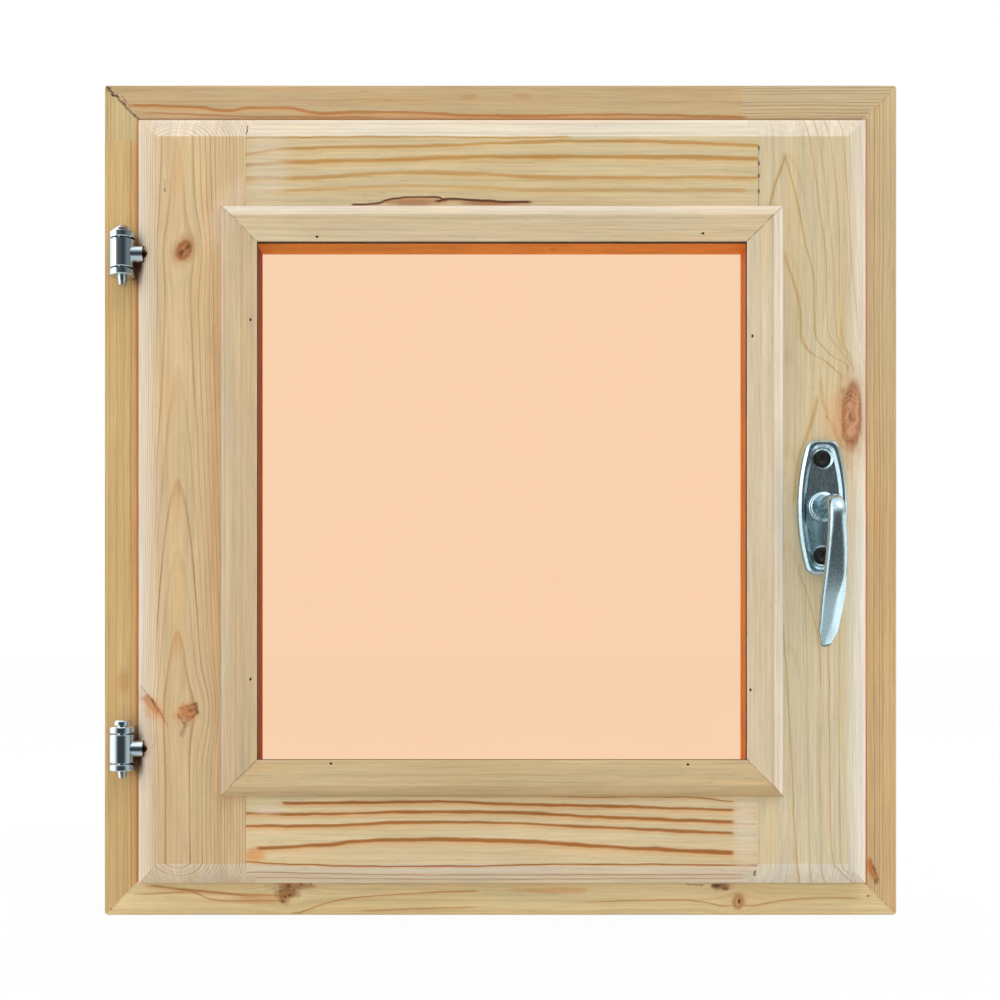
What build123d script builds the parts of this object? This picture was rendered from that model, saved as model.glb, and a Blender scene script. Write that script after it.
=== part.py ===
"""A small pine casement window: a mitred frame, a lipped sash with one tinted pane, two barrel hinges and
a turn handle. Millimetres, +Z up, front towards -Y, origin at the middle of the sill's underside."""

import os
from math import cos, radians, sin

from build123d import *

# Outer frame
FRAME_WIDTH = 502.0
FRAME_HEIGHT = 526.0
FRAME_DEPTH = 70.0
FRAME_MEMBER = 47.0
FRAME_REBATE_WIDTH = 12.0
FRAME_REBATE_DEPTH = 18.0
FRAME_ARRIS = 1.2
FRAME_CORNER = 3.0

# Sash: how much of the frame's face shows round its lip, and its section
MARGIN_LEFT = 23.5
MARGIN_RIGHT = 21.7
MARGIN_TOP = 25.0
MARGIN_BOTTOM = 21.6
LIP_THICKNESS = 15.5
LIP_GAP = 0.5
LIP_ROUND_WIDTH = 13.6
LIP_ROUND_DEPTH = 9.0
LIP_ROUND_RADIUS = 32.0
SASH_CLEARANCE = 4.0
SASH_STOP_GAP = 2.5

# Sash members, from the lip's edge to the beads' inner edge
STILE_LEFT_WIDTH = 76.7
STILE_RIGHT_WIDTH = 77.0
RAIL_TOP_WIDTH = 80.4
RAIL_BOTTOM_WIDTH = 78.5
TENON_THICKNESS = 9.0
TENON_LENGTH = 38.0
TENON_SHOULDER = 9.0

# Pane and beads
BEAD_OVERHANG = 2.6
GLASS_REBATE_WIDTH = 5.0
GLASS_THICKNESS = 4.0
GLASS_BED = 0.2
GLASS_EDGE_GAP = 0.6
BEAD_WIDTH = 23.0
BEAD_INNER_HEIGHT = 4.8
BEAD_CROWN_HEIGHT = 7.5
BEAD_OUTER_HEIGHT = 1.6
BEAD_SLOPE_WIDTH = 7.5
BEAD_SLOPE_RADIUS = 8.5
BEAD_ARRIS = 0.9

# Barrel hinges
HINGE_UPPER_HEIGHT = 415.6
HINGE_LOWER_HEIGHT = 106.3
HINGE_DIAMETER = 15.6
HINGE_LIP_GAP = 1.5
HINGE_BARREL_LENGTH = 17.8
HINGE_RING_LENGTH = 4.0
HINGE_RING_GAP = 0.8
HINGE_EDGE = 0.5
HINGE_WEB_WIDTH = 9.0
HINGE_WEB_THICKNESS = 2.0
HINGE_WEB_GAP = 0.4
HINGE_COLLAR_DIAMETER = 10.4
HINGE_COLLAR_DEPTH = 4.6
HINGE_SHANK_DIAMETER = 5.0
HINGE_SHANK_LENGTH = 30.0
PIN_DIAMETER = 6.0
PIN_FIT = 0.05
PIN_SLOT = 0.9
DOME_DIAMETER = 10.4
DOME_NECK = 0.2
DOME_HEIGHT = 3.9
DOME_BEVEL = 2.3
UPPER_TIP_LENGTH = 5.6
CAP_DIAMETER = 9.8
CAP_HEIGHT = 3.1
CAP_NECK = 0.9
CAP_BEVEL = 0.8
LOWER_TIP_LENGTH = 4.6
TIP_DIAMETER = 4.3
SHANK_FIT = 0.05

# Turn handle
HANDLE_HEIGHT = 256.3
HANDLE_INSET = 30.2
PLATE_HEIGHT = 83.0
PLATE_WIDTH = 30.0
PLATE_END_WIDTH = 17.5
PLATE_CORNER = 6.5
PLATE_THICKNESS = 6.0
PLATE_BEVEL = 1.5
PLATE_RIM = 2.8
PLATE_SINK = 1.6
PLATE_SINK_TAPER = 48.0
SCREW_SPACING = 60.0
SCREW_HOLE = 5.0
SCREW_COUNTERSINK = 13.0
SCREW_ANGLE = 100.0
JOURNAL_DIAMETER = 10.0
JOURNAL_LENGTH = 4.0
JOURNAL_FIT = 0.05
COLLAR_DIAMETER = 18.6
COLLAR_THICKNESS = 2.4
COLLAR_GAP = 0.3
NECK_BASE_DIAMETER = 15.5
NECK_TOP_DIAMETER = 9.6
NECK_CONE_LENGTH = 13.0
NECK_DEPTH = 10.5
NECK_WIDTH = 10.8
NECK_LENGTH = 23.0
BEND_RADIUS = 9.0
GRIP_RADIUS = 140.0
GRIP_SWEEP = 33.0
GRIP_TOP_DEPTH = 8.4
GRIP_BELLY_DEPTH = 8.0
GRIP_TIP_DEPTH = 4.6
GRIP_BELLY_WIDTH = 14.0
GRIP_BELLY_DROP = 46.0
GRIP_LOWER_WIDTH = 11.2
GRIP_LOWER_DROP = 74.0
GRIP_TIP_WIDTH = 5.4
GRIP_TIP_RADIUS = 24.0
GRIP_EDGE = 1.9

# Planes of depth, front to back
frame_front = -FRAME_DEPTH / 2
frame_back = FRAME_DEPTH / 2
frame_stop = frame_front + FRAME_REBATE_DEPTH
lip_back = frame_front - LIP_GAP
sash_front = lip_back - LIP_THICKNESS
sash_back = frame_stop - SASH_STOP_GAP
glass_front = sash_front + GLASS_BED
glass_back = glass_front + GLASS_THICKNESS

# Sash lip, sash body behind it, beads' inner edges and the sash's own opening
lip_left = -FRAME_WIDTH / 2 + MARGIN_LEFT
lip_right = FRAME_WIDTH / 2 - MARGIN_RIGHT
lip_bottom = MARGIN_BOTTOM
lip_top = FRAME_HEIGHT - MARGIN_TOP
body_inset = FRAME_MEMBER - FRAME_REBATE_WIDTH + SASH_CLEARANCE
body_left = -FRAME_WIDTH / 2 + body_inset
body_right = FRAME_WIDTH / 2 - body_inset
body_bottom = body_inset
body_top = FRAME_HEIGHT - body_inset
bead_left = lip_left + STILE_LEFT_WIDTH
bead_right = lip_right - STILE_RIGHT_WIDTH
bead_bottom = lip_bottom + RAIL_BOTTOM_WIDTH
bead_top = lip_top - RAIL_TOP_WIDTH
sight_left = bead_left - BEAD_OVERHANG
sight_right = bead_right + BEAD_OVERHANG
sight_bottom = bead_bottom - BEAD_OVERHANG
sight_top = bead_top + BEAD_OVERHANG
rebate_left = sight_left - GLASS_REBATE_WIDTH
rebate_right = sight_right + GLASS_REBATE_WIDTH
rebate_bottom = sight_bottom - GLASS_REBATE_WIDTH
rebate_top = sight_top + GLASS_REBATE_WIDTH
tenon_middle = (sash_front + sash_back) / 2

hinge_radius = HINGE_DIAMETER / 2
hinge_x = lip_left - HINGE_LIP_GAP - hinge_radius
hinge_y = frame_front - HINGE_WEB_THICKNESS - HINGE_WEB_GAP - hinge_radius
hinge_half = HINGE_BARREL_LENGTH / 2 + HINGE_RING_GAP + HINGE_RING_LENGTH
handle_x = lip_right - HANDLE_INSET
plate_front = sash_front - PLATE_THICKNESS
plate_face = plate_front + PLATE_SINK
collar_back = plate_face - COLLAR_GAP

os.makedirs("parts", exist_ok=True)


def write(builder, name):
    """Label a finished piece and write it as its own file."""
    builder.part.label = name
    export_step(builder.part, f"parts/{name}.step")


def mitred_member(profile, corner, along, inward, length):
    """A bar of the given section, its outer edge running from corner along a side, mitred at both ends."""
    outer_middle = corner + along * (length / 2)
    section = Plane(origin=outer_middle, x_dir=inward, z_dir=inward.cross(Vector(0, 1, 0)))
    with BuildPart() as member:
        with BuildSketch(section):
            add(profile)
        extrude(amount=length / 2, both=True)
        for end in (-1, 1):
            tip = outer_middle + along * (end * length / 2)
            split(bisect_by=Plane(origin=tip, z_dir=inward + along * end), keep=Keep.BOTTOM)
    return member


def four_sides(left, right, bottom, top):
    """Name, corner, direction along and direction inward of a rectangle's sides."""
    width = right - left
    height = top - bottom
    return (
        ("left", Vector(left, 0, bottom), Vector(0, 0, 1), Vector(1, 0, 0), height),
        ("right", Vector(right, 0, bottom), Vector(0, 0, 1), Vector(-1, 0, 0), height),
        ("bottom", Vector(left, 0, bottom), Vector(1, 0, 0), Vector(0, 0, 1), width),
        ("top", Vector(left, 0, top), Vector(1, 0, 0), Vector(0, 0, -1), width),
    )


# Outer frame: an L-section with its rebate to the front, its front arris eased and its corners rounded
with BuildSketch() as frame_section:
    with BuildLine():
        Polyline(
            (0, frame_front),
            (FRAME_MEMBER - FRAME_REBATE_WIDTH, frame_front),
            (FRAME_MEMBER - FRAME_REBATE_WIDTH, frame_stop),
            (FRAME_MEMBER, frame_stop),
            (FRAME_MEMBER, frame_back),
            (0, frame_back),
            close=True,
        )
    make_face()
    fillet(frame_section.vertices().sort_by(Axis.X)[:2].sort_by(Axis.Y)[:1], FRAME_ARRIS)

frame_names = {
    "left": "frame_left_jamb",
    "right": "frame_right_jamb",
    "bottom": "frame_sill",
    "top": "frame_head",
}
frame_members = {}
for side, corner, along, inward, length in four_sides(-FRAME_WIDTH / 2, FRAME_WIDTH / 2, 0, FRAME_HEIGHT):
    with BuildPart() as member:
        add(mitred_member(frame_section.sketch, corner, along, inward, length).part)
        with BuildSketch(Plane.XZ.offset(-frame_back)):
            with Locations((0, FRAME_HEIGHT / 2)):
                RectangleRounded(FRAME_WIDTH, FRAME_HEIGHT, FRAME_CORNER)
        extrude(amount=FRAME_DEPTH, mode=Mode.INTERSECT)
    frame_members[side] = member


def lipped_profile(lip_low, lip_high, body_low, body_high):
    """Cross-section of the whole sash: a lip with rounded front edges and a narrower body behind it."""
    round_back = sash_front + LIP_ROUND_DEPTH
    low_edge = (lip_low, round_back)
    high_edge = (lip_high, round_back)
    low_face = (lip_low + LIP_ROUND_WIDTH, sash_front)
    high_face = (lip_high - LIP_ROUND_WIDTH, sash_front)
    with BuildSketch() as profile:
        with BuildLine():
            Polyline(
                high_edge,
                (lip_high, lip_back),
                (body_high, lip_back),
                (body_high, sash_back),
                (body_low, sash_back),
                (body_low, lip_back),
                (lip_low, lip_back),
                low_edge,
            )
            RadiusArc(low_edge, low_face, -LIP_ROUND_RADIUS)
            Line(low_face, high_face)
            RadiusArc(high_face, high_edge, -LIP_ROUND_RADIUS)
        make_face()
    return profile.sketch


# Sash blank: the crosswise and upright sections meet in mitred edges, then the opening and glass rebate
reach = max(FRAME_WIDTH, FRAME_HEIGHT)
upright = Plane(origin=(0, 0, 0), x_dir=(0, 0, 1), z_dir=(-1, 0, 0))
opening_centre = ((sight_left + sight_right) / 2, (sight_bottom + sight_top) / 2)
with BuildPart() as sash_blank:
    with BuildSketch(Plane.XY):
        add(lipped_profile(lip_left, lip_right, body_left, body_right))
    extrude(amount=reach)
    with BuildSketch(upright):
        add(lipped_profile(lip_bottom, lip_top, body_bottom, body_top))
    extrude(amount=reach, both=True, mode=Mode.INTERSECT)
    with BuildSketch(Plane.XZ.offset(-sash_back)):
        with Locations(opening_centre):
            Rectangle(sight_right - sight_left, sight_top - sight_bottom)
    extrude(amount=sash_back - sash_front, mode=Mode.SUBTRACT)
    with BuildSketch(Plane.XZ.offset(-glass_back)):
        with Locations(opening_centre):
            Rectangle(rebate_right - rebate_left, rebate_top - rebate_bottom)
    extrude(amount=glass_back - sash_front, mode=Mode.SUBTRACT)


def stile_region(outside, shoulder_front, shoulder_back):
    """Ground plan of a stile: its shoulder steps at the glass rebate."""
    with BuildSketch() as region:
        with BuildLine():
            Polyline(
                (outside, sash_front),
                (shoulder_front, sash_front),
                (shoulder_front, glass_back),
                (shoulder_back, glass_back),
                (shoulder_back, sash_back),
                (outside, sash_back),
                close=True,
            )
        make_face()
    return region.sketch


def tenon(side_x, direction, low, high):
    """Block of a rail's tenon, running from the stile's shoulder into the stile."""
    with BuildPart() as block:
        with BuildSketch(Plane.YZ.offset(side_x)):
            with Locations((tenon_middle, (low + high) / 2)):
                Rectangle(TENON_THICKNESS, high - low)
        extrude(amount=TENON_LENGTH * direction)
    return block.part


left_region = stile_region(lip_left, rebate_left, sight_left)
right_region = stile_region(lip_right, rebate_right, sight_right)
top_tenon = (sight_top + TENON_SHOULDER, body_top - TENON_SHOULDER)
bottom_tenon = (body_bottom + TENON_SHOULDER, sight_bottom - TENON_SHOULDER)
left_tenons = [tenon(sight_left, -1, *span) for span in (top_tenon, bottom_tenon)]
right_tenons = [tenon(sight_right, 1, *span) for span in (top_tenon, bottom_tenon)]

stiles = {}
for side, region, tenons in (("left", left_region, left_tenons), ("right", right_region, right_tenons)):
    with BuildPart() as stile:
        add(sash_blank.part)
        with BuildSketch(Plane.XY):
            add(region)
        extrude(amount=reach, mode=Mode.INTERSECT)
        for block in tenons:
            add(block, mode=Mode.SUBTRACT)
    stiles[side] = stile

rails = {}
rail_spans = (("top", opening_centre[1], reach, 0), ("bottom", -reach, opening_centre[1], 1))
for side, low, high, which in rail_spans:
    with BuildPart() as rail:
        add(sash_blank.part)
        with BuildSketch(Plane.XY):
            add(left_region)
            add(right_region)
        extrude(amount=reach, mode=Mode.SUBTRACT)
        with BuildSketch(Plane.XY.offset(low)):
            Rectangle(2 * reach, 2 * reach)
        extrude(amount=high - low, mode=Mode.INTERSECT)
        add(left_tenons[which])
        add(right_tenons[which])
    rails[side] = rail

# Pane: bedded in the rebate, with a setting gap round its edge
with BuildPart() as glass_pane:
    with BuildSketch(Plane.XZ.offset(-glass_back)):
        with Locations(opening_centre):
            Rectangle(
                rebate_right - rebate_left - 2 * GLASS_EDGE_GAP,
                rebate_top - rebate_bottom - 2 * GLASS_EDGE_GAP,
            )
    extrude(amount=GLASS_THICKNESS)

# Glazing beads: thin over the glass, rising to a crown, then rounded down to the sash's face
with BuildSketch() as bead_section:
    with BuildLine():
        Polyline(
            (BEAD_SLOPE_WIDTH, sash_front - BEAD_CROWN_HEIGHT),
            (BEAD_WIDTH, sash_front - BEAD_INNER_HEIGHT),
            (BEAD_WIDTH, sash_front),
            (0, sash_front),
            (0, sash_front - BEAD_OUTER_HEIGHT),
        )
        RadiusArc(
            (0, sash_front - BEAD_OUTER_HEIGHT),
            (BEAD_SLOPE_WIDTH, sash_front - BEAD_CROWN_HEIGHT),
            -BEAD_SLOPE_RADIUS,
        )
    make_face()
    fillet(bead_section.vertices().group_by(Axis.X)[-1].sort_by(Axis.Y)[:1], BEAD_ARRIS)

beads = {}
bead_outline = (
    bead_left - BEAD_WIDTH,
    bead_right + BEAD_WIDTH,
    bead_bottom - BEAD_WIDTH,
    bead_top + BEAD_WIDTH,
)
for side, corner, along, inward, length in four_sides(*bead_outline):
    beads[side] = mitred_member(bead_section.sketch, corner, along, inward, length)


def ring_solid(low, high):
    """Hinge knuckle between two heights, bored for the pin, with eased edges."""
    with BuildPart() as ring:
        with BuildSketch(Plane.XY.offset(low)):
            with Locations((hinge_x, hinge_y)):
                Circle(hinge_radius)
        extrude(amount=high - low)
        chamfer(ring.edges(), HINGE_EDGE)
        with BuildSketch(Plane.XY.offset(low)):
            with Locations((hinge_x, hinge_y)):
                Circle(PIN_DIAMETER / 2 + PIN_FIT)
        extrude(amount=high - low, mode=Mode.SUBTRACT)
    return ring.part


def shank_plane(height):
    """Plane across the sash shank of a hinge, on the lip's edge, facing into the stile."""
    return Plane(origin=(lip_left, hinge_y, height), x_dir=(0, 1, 0), z_dir=(1, 0, 0))


def stud_plane(height):
    """Plane across the frame stud of a hinge, on the frame's face, facing into the jamb."""
    return Plane(origin=(hinge_x, frame_front, height), x_dir=(1, 0, 0), z_dir=(0, 1, 0))


def hinge_pin(height, head_profile, tip_length):
    """Turned pin: a head, a plain shaft through the knuckles and a slit, tapered tip below."""
    head_seat = height + hinge_half
    tip_top = height - hinge_half
    axis_plane = Plane(origin=(hinge_x, hinge_y, 0), x_dir=(1, 0, 0), z_dir=(0, -1, 0))
    with BuildPart() as pin:
        with BuildSketch(axis_plane):
            with BuildLine():
                Polyline(
                    (0, head_seat),
                    (0, tip_top - tip_length),
                    (TIP_DIAMETER / 2, tip_top - tip_length),
                    (PIN_DIAMETER / 2, tip_top),
                    (PIN_DIAMETER / 2, head_seat),
                    close=True,
                )
            make_face()
            with Locations((0, head_seat)):
                add(head_profile)
        revolve(axis=Axis((hinge_x, hinge_y, 0), (0, 0, 1)))
        with BuildSketch(Plane.XY.offset(tip_top - tip_length)):
            with Locations((hinge_x, hinge_y)):
                Rectangle(PIN_SLOT, PIN_DIAMETER)
        extrude(amount=tip_length / 2, mode=Mode.SUBTRACT)
    return pin


def pin_head(diameter, neck, height, bevel):
    """Half profile of a pin's head: a disc with a bevelled edge, on a neck where it stands off its ring."""
    with BuildSketch() as head:
        with BuildLine():
            Polyline(
                (0, 0),
                (PIN_DIAMETER / 2, 0),
                (PIN_DIAMETER / 2, neck),
                (diameter / 2, neck),
                (diameter / 2, neck + height),
                (0, neck + height),
                close=True,
            )
        make_face()
        chamfer(head.vertices().group_by(Axis.X)[-1].sort_by(Axis.Y)[-1:], bevel)
    return head.sketch


dome_head = pin_head(DOME_DIAMETER, DOME_NECK, DOME_HEIGHT, DOME_BEVEL)
cap_head = pin_head(CAP_DIAMETER, CAP_NECK, CAP_HEIGHT, CAP_BEVEL)

hinges = {}
hinge_specs = (
    ("upper", HINGE_UPPER_HEIGHT, dome_head, UPPER_TIP_LENGTH),
    ("lower", HINGE_LOWER_HEIGHT, cap_head, LOWER_TIP_LENGTH),
)
for place, height, head_profile, tip_length in hinge_specs:
    barrel_low = height - HINGE_BARREL_LENGTH / 2
    barrel_high = height + HINGE_BARREL_LENGTH / 2

    # Sash half: the long barrel with a collared shank screwed into the lip's edge
    with BuildPart() as barrel:
        with BuildSketch(shank_plane(height)):
            Circle(HINGE_COLLAR_DIAMETER / 2)
        extrude(amount=hinge_x - lip_left)
        with BuildSketch(shank_plane(height)):
            Circle(HINGE_COLLAR_DIAMETER / 2)
        extrude(amount=HINGE_COLLAR_DEPTH)
        with BuildSketch(shank_plane(height)):
            Circle(HINGE_SHANK_DIAMETER / 2)
        extrude(amount=HINGE_SHANK_LENGTH)
        with BuildSketch(Plane.XY.offset(barrel_low)):
            with Locations((hinge_x, hinge_y)):
                Circle(hinge_radius)
        extrude(amount=HINGE_BARREL_LENGTH, mode=Mode.SUBTRACT)
        add(ring_solid(barrel_low, barrel_high))

    # Frame half: two rings on a web that is screwed to the frame's face
    with BuildPart() as fork:
        with BuildSketch(stud_plane(height).offset(-HINGE_WEB_THICKNESS)):
            Rectangle(HINGE_WEB_WIDTH, 2 * hinge_half)
        extrude(amount=HINGE_WEB_THICKNESS)
        for ring_low in (height - hinge_half, height + hinge_half - HINGE_RING_LENGTH):
            with BuildSketch(Plane.XY.offset(ring_low)):
                with Locations((hinge_x, (hinge_y + frame_front) / 2)):
                    Rectangle(HINGE_WEB_WIDTH, frame_front - hinge_y)
            extrude(amount=HINGE_RING_LENGTH)
            with BuildSketch(Plane.XY.offset(ring_low)):
                with Locations((hinge_x, hinge_y)):
                    Circle(hinge_radius - HINGE_EDGE)
            extrude(amount=HINGE_RING_LENGTH, mode=Mode.SUBTRACT)
            add(ring_solid(ring_low, ring_low + HINGE_RING_LENGTH))
        with BuildSketch(stud_plane(height)):
            Circle(HINGE_SHANK_DIAMETER / 2)
        extrude(amount=HINGE_SHANK_LENGTH)

    hinges[f"{place}_hinge_barrel"] = barrel
    hinges[f"{place}_hinge_fork"] = fork
    hinges[f"{place}_hinge_pin"] = hinge_pin(height, head_profile, tip_length)

# Holes for the hinges' shanks in the left stile and the left jamb
with BuildPart() as bored_stile:
    add(stiles["left"].part)
    for _, height, _, _ in hinge_specs:
        with BuildSketch(shank_plane(height)):
            Circle(HINGE_SHANK_DIAMETER / 2 + SHANK_FIT)
        extrude(amount=HINGE_SHANK_LENGTH, mode=Mode.SUBTRACT)
        with BuildSketch(shank_plane(height)):
            Circle(HINGE_COLLAR_DIAMETER / 2 + SHANK_FIT)
        extrude(amount=HINGE_COLLAR_DEPTH, mode=Mode.SUBTRACT)
stiles["left"] = bored_stile

with BuildPart() as bored_jamb:
    add(frame_members["left"].part)
    for _, height, _, _ in hinge_specs:
        with BuildSketch(stud_plane(height)):
            Circle(HINGE_SHANK_DIAMETER / 2 + SHANK_FIT)
        extrude(amount=HINGE_SHANK_LENGTH, mode=Mode.SUBTRACT)
frame_members["left"] = bored_jamb


def plate_outline(inset):
    """Barrel-shaped outline of the handle's plate, drawn in by an inset."""
    half_height = PLATE_HEIGHT / 2 - inset
    half_width = PLATE_WIDTH / 2 - inset
    half_end = PLATE_END_WIDTH / 2 - inset
    with BuildSketch() as outline:
        with BuildLine():
            ThreePointArc((half_end, -half_height), (half_width, 0), (half_end, half_height))
            Line((half_end, half_height), (-half_end, half_height))
            ThreePointArc((-half_end, half_height), (-half_width, 0), (-half_end, -half_height))
            Line((-half_end, -half_height), (half_end, -half_height))
        make_face()
        fillet(outline.vertices(), PLATE_CORNER)
    return outline.sketch


# Handle plate: a bevelled rim round a sunk face, two countersunk holes and the lever's bore
handle_plane = Plane(origin=(handle_x, sash_front, HANDLE_HEIGHT), x_dir=(1, 0, 0), z_dir=(0, -1, 0))
with BuildPart() as handle_plate:
    with BuildSketch(handle_plane):
        add(plate_outline(0))
    extrude(amount=PLATE_THICKNESS)
    chamfer(handle_plate.faces().sort_by(Axis.Y)[0].edges(), PLATE_BEVEL)
    with BuildSketch(handle_plane.offset(PLATE_THICKNESS)):
        add(plate_outline(PLATE_RIM))
    extrude(amount=-PLATE_SINK, taper=PLATE_SINK_TAPER, mode=Mode.SUBTRACT)
    with Locations(handle_plane.offset(PLATE_THICKNESS - PLATE_SINK)):
        with GridLocations(SCREW_SPACING, SCREW_SPACING, 1, 2):
            CounterSinkHole(SCREW_HOLE / 2, SCREW_COUNTERSINK / 2, counter_sink_angle=SCREW_ANGLE)
        Hole(JOURNAL_DIAMETER / 2 + JOURNAL_FIT)


# Handle lever: a collar and journal in the plate, a coned neck that bends down into a leaf-shaped grip
neck_y = collar_back - COLLAR_THICKNESS
bend_y = neck_y - NECK_LENGTH
half_bend = radians(45)
side_plane = Plane(origin=(handle_x, 0, HANDLE_HEIGHT), x_dir=(0, 1, 0), z_dir=(1, 0, 0))
front_plane = Plane(origin=(handle_x, 0, HANDLE_HEIGHT), x_dir=(1, 0, 0), z_dir=(0, -1, 0))


def bend_point(offset):
    """Middle of the bend, an offset outside the lever's middle line."""
    radius = BEND_RADIUS + offset
    return (bend_y - radius * sin(half_bend), radius * cos(half_bend) - BEND_RADIUS)


def grip_point(share, offset):
    """Point at a share of the grip's arc, an offset outside the lever's middle line."""
    angle = radians(GRIP_SWEEP * share)
    radius = GRIP_RADIUS + offset
    return (bend_y - BEND_RADIUS + GRIP_RADIUS - radius * cos(angle), -BEND_RADIUS - radius * sin(angle))


def runs_along(edge):
    """True for an edge that runs along the lever's length, on its left or right side."""
    middle = edge @ 0.5
    sideways = abs((edge % 0.5).X)
    return abs(middle.X - handle_x) > GRIP_TIP_WIDTH / 4 and sideways < 0.6 and middle.Y < neck_y - 1e-3


def lever_edge(side):
    """Front (side 1) or back (side -1) line of the lever, seen from its side, from plate to tip."""
    neck = Line((neck_y, side * NECK_DEPTH / 2), (bend_y, side * NECK_DEPTH / 2))
    grip_start = grip_point(0, side * GRIP_TOP_DEPTH / 2)
    grip_middle = grip_point(0.5, side * GRIP_BELLY_DEPTH / 2)
    grip_end = grip_point(1, side * GRIP_TIP_DEPTH / 2)
    ThreePointArc(neck @ 1, bend_point(side * (NECK_DEPTH + GRIP_TOP_DEPTH) / 4), grip_start)
    ThreePointArc(grip_start, grip_middle, grip_end)


def leaf_edge(side):
    """Right (side 1) or left (side -1) line of the lever, seen from the front, from its top to its tip."""
    shoulder = (side * NECK_WIDTH / 2, 0)
    lower = (side * GRIP_LOWER_WIDTH / 2, -GRIP_LOWER_DROP)
    Line((side * NECK_WIDTH / 2, NECK_DEPTH / 2), shoulder)
    ThreePointArc(shoulder, (side * GRIP_BELLY_WIDTH / 2, -GRIP_BELLY_DROP), lower)
    RadiusArc(lower, (side * GRIP_TIP_WIDTH / 2, tip_drop), side * GRIP_TIP_RADIUS)


tip_drop = grip_point(1, GRIP_TIP_DEPTH / 2)[1]
with BuildPart() as handle_lever:
    with BuildSketch(side_plane):
        with BuildLine():
            lever_edge(1)
            lever_edge(-1)
            Line(grip_point(1, GRIP_TIP_DEPTH / 2), grip_point(1, -GRIP_TIP_DEPTH / 2))
            Line((neck_y, NECK_DEPTH / 2), (neck_y, -NECK_DEPTH / 2))
        make_face()
    extrude(amount=GRIP_BELLY_WIDTH, both=True)
    with BuildSketch(front_plane):
        with BuildLine():
            leaf_edge(1)
            leaf_edge(-1)
            Line((-NECK_WIDTH / 2, NECK_DEPTH / 2), (NECK_WIDTH / 2, NECK_DEPTH / 2))
            Line((-GRIP_TIP_WIDTH / 2, tip_drop), (GRIP_TIP_WIDTH / 2, tip_drop))
        make_face()
    extrude(amount=FRAME_DEPTH + PLATE_HEIGHT, both=True, mode=Mode.INTERSECT)
    long_edges = handle_lever.edges().filter_by(lambda edge: runs_along(edge))
    chamfer(long_edges, GRIP_EDGE)
    with BuildSketch(handle_plane.offset(sash_front - neck_y)):
        Circle(NECK_BASE_DIAMETER / 2)
    with BuildSketch(handle_plane.offset(sash_front - neck_y + NECK_CONE_LENGTH)):
        Circle(NECK_TOP_DIAMETER / 2)
    loft()
    with BuildSketch(handle_plane.offset(sash_front - collar_back)):
        Circle(COLLAR_DIAMETER / 2)
    extrude(amount=COLLAR_THICKNESS)
    with BuildSketch(handle_plane.offset(sash_front - collar_back)):
        Circle(JOURNAL_DIAMETER / 2)
    extrude(amount=-JOURNAL_LENGTH)

for side, member in frame_members.items():
    write(member, frame_names[side])
for side, member in stiles.items():
    write(member, f"sash_{side}_stile")
for side, member in rails.items():
    write(member, f"sash_{side}_rail")
write(glass_pane, "glass_pane")
for side, member in beads.items():
    write(member, f"glazing_bead_{side}")
for name, member in hinges.items():
    write(member, name)
write(handle_plate, "handle_plate")
write(handle_lever, "handle_lever")
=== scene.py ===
"""Looks of a small pine casement window: pine boards, a tinted pane, zinc hinges and a satin chrome handle.

Colours and places follow the photograph. Places are in millimetres in the window's own frame: X to the right,
Y away from the viewer, Z up from the sill's underside."""

import math

import bpy
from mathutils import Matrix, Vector


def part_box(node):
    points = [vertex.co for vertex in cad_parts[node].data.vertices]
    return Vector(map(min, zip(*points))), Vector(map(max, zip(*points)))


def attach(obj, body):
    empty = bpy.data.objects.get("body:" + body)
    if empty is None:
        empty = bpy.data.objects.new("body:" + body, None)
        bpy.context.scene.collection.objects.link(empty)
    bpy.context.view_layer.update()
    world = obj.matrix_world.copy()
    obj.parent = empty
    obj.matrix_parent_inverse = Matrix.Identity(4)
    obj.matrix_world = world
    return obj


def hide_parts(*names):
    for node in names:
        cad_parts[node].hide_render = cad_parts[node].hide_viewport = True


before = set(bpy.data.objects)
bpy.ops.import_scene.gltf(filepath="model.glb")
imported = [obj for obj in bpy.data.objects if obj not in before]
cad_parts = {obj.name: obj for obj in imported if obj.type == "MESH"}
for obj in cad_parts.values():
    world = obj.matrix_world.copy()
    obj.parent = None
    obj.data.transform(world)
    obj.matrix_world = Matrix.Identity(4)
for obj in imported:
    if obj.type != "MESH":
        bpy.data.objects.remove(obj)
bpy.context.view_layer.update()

MM = 0.001

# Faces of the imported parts, in millimetres
frame_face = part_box("frame_head")[0][1] / MM
sash_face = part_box("sash_left_stile")[0][1] / MM
plate_low, plate_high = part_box("handle_plate")
handle_x = (plate_low[0] + plate_high[0]) / 2 / MM
handle_z = (plate_low[2] + plate_high[2]) / 2 / MM
PLATE_SINK = 1.6
plate_face = plate_low[1] / MM + PLATE_SINK
bead_inner = {
    "left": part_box("glazing_bead_left")[1][0] / MM,
    "right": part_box("glazing_bead_right")[0][0] / MM,
    "bottom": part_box("glazing_bead_bottom")[1][2] / MM,
    "top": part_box("glazing_bead_top")[0][2] / MM,
}


def outer_edges(left, right, bottom, top):
    """Outer edges of four members, by side."""
    return {
        "left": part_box(left)[0][0] / MM,
        "right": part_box(right)[1][0] / MM,
        "bottom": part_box(bottom)[0][2] / MM,
        "top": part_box(top)[1][2] / MM,
    }


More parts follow.
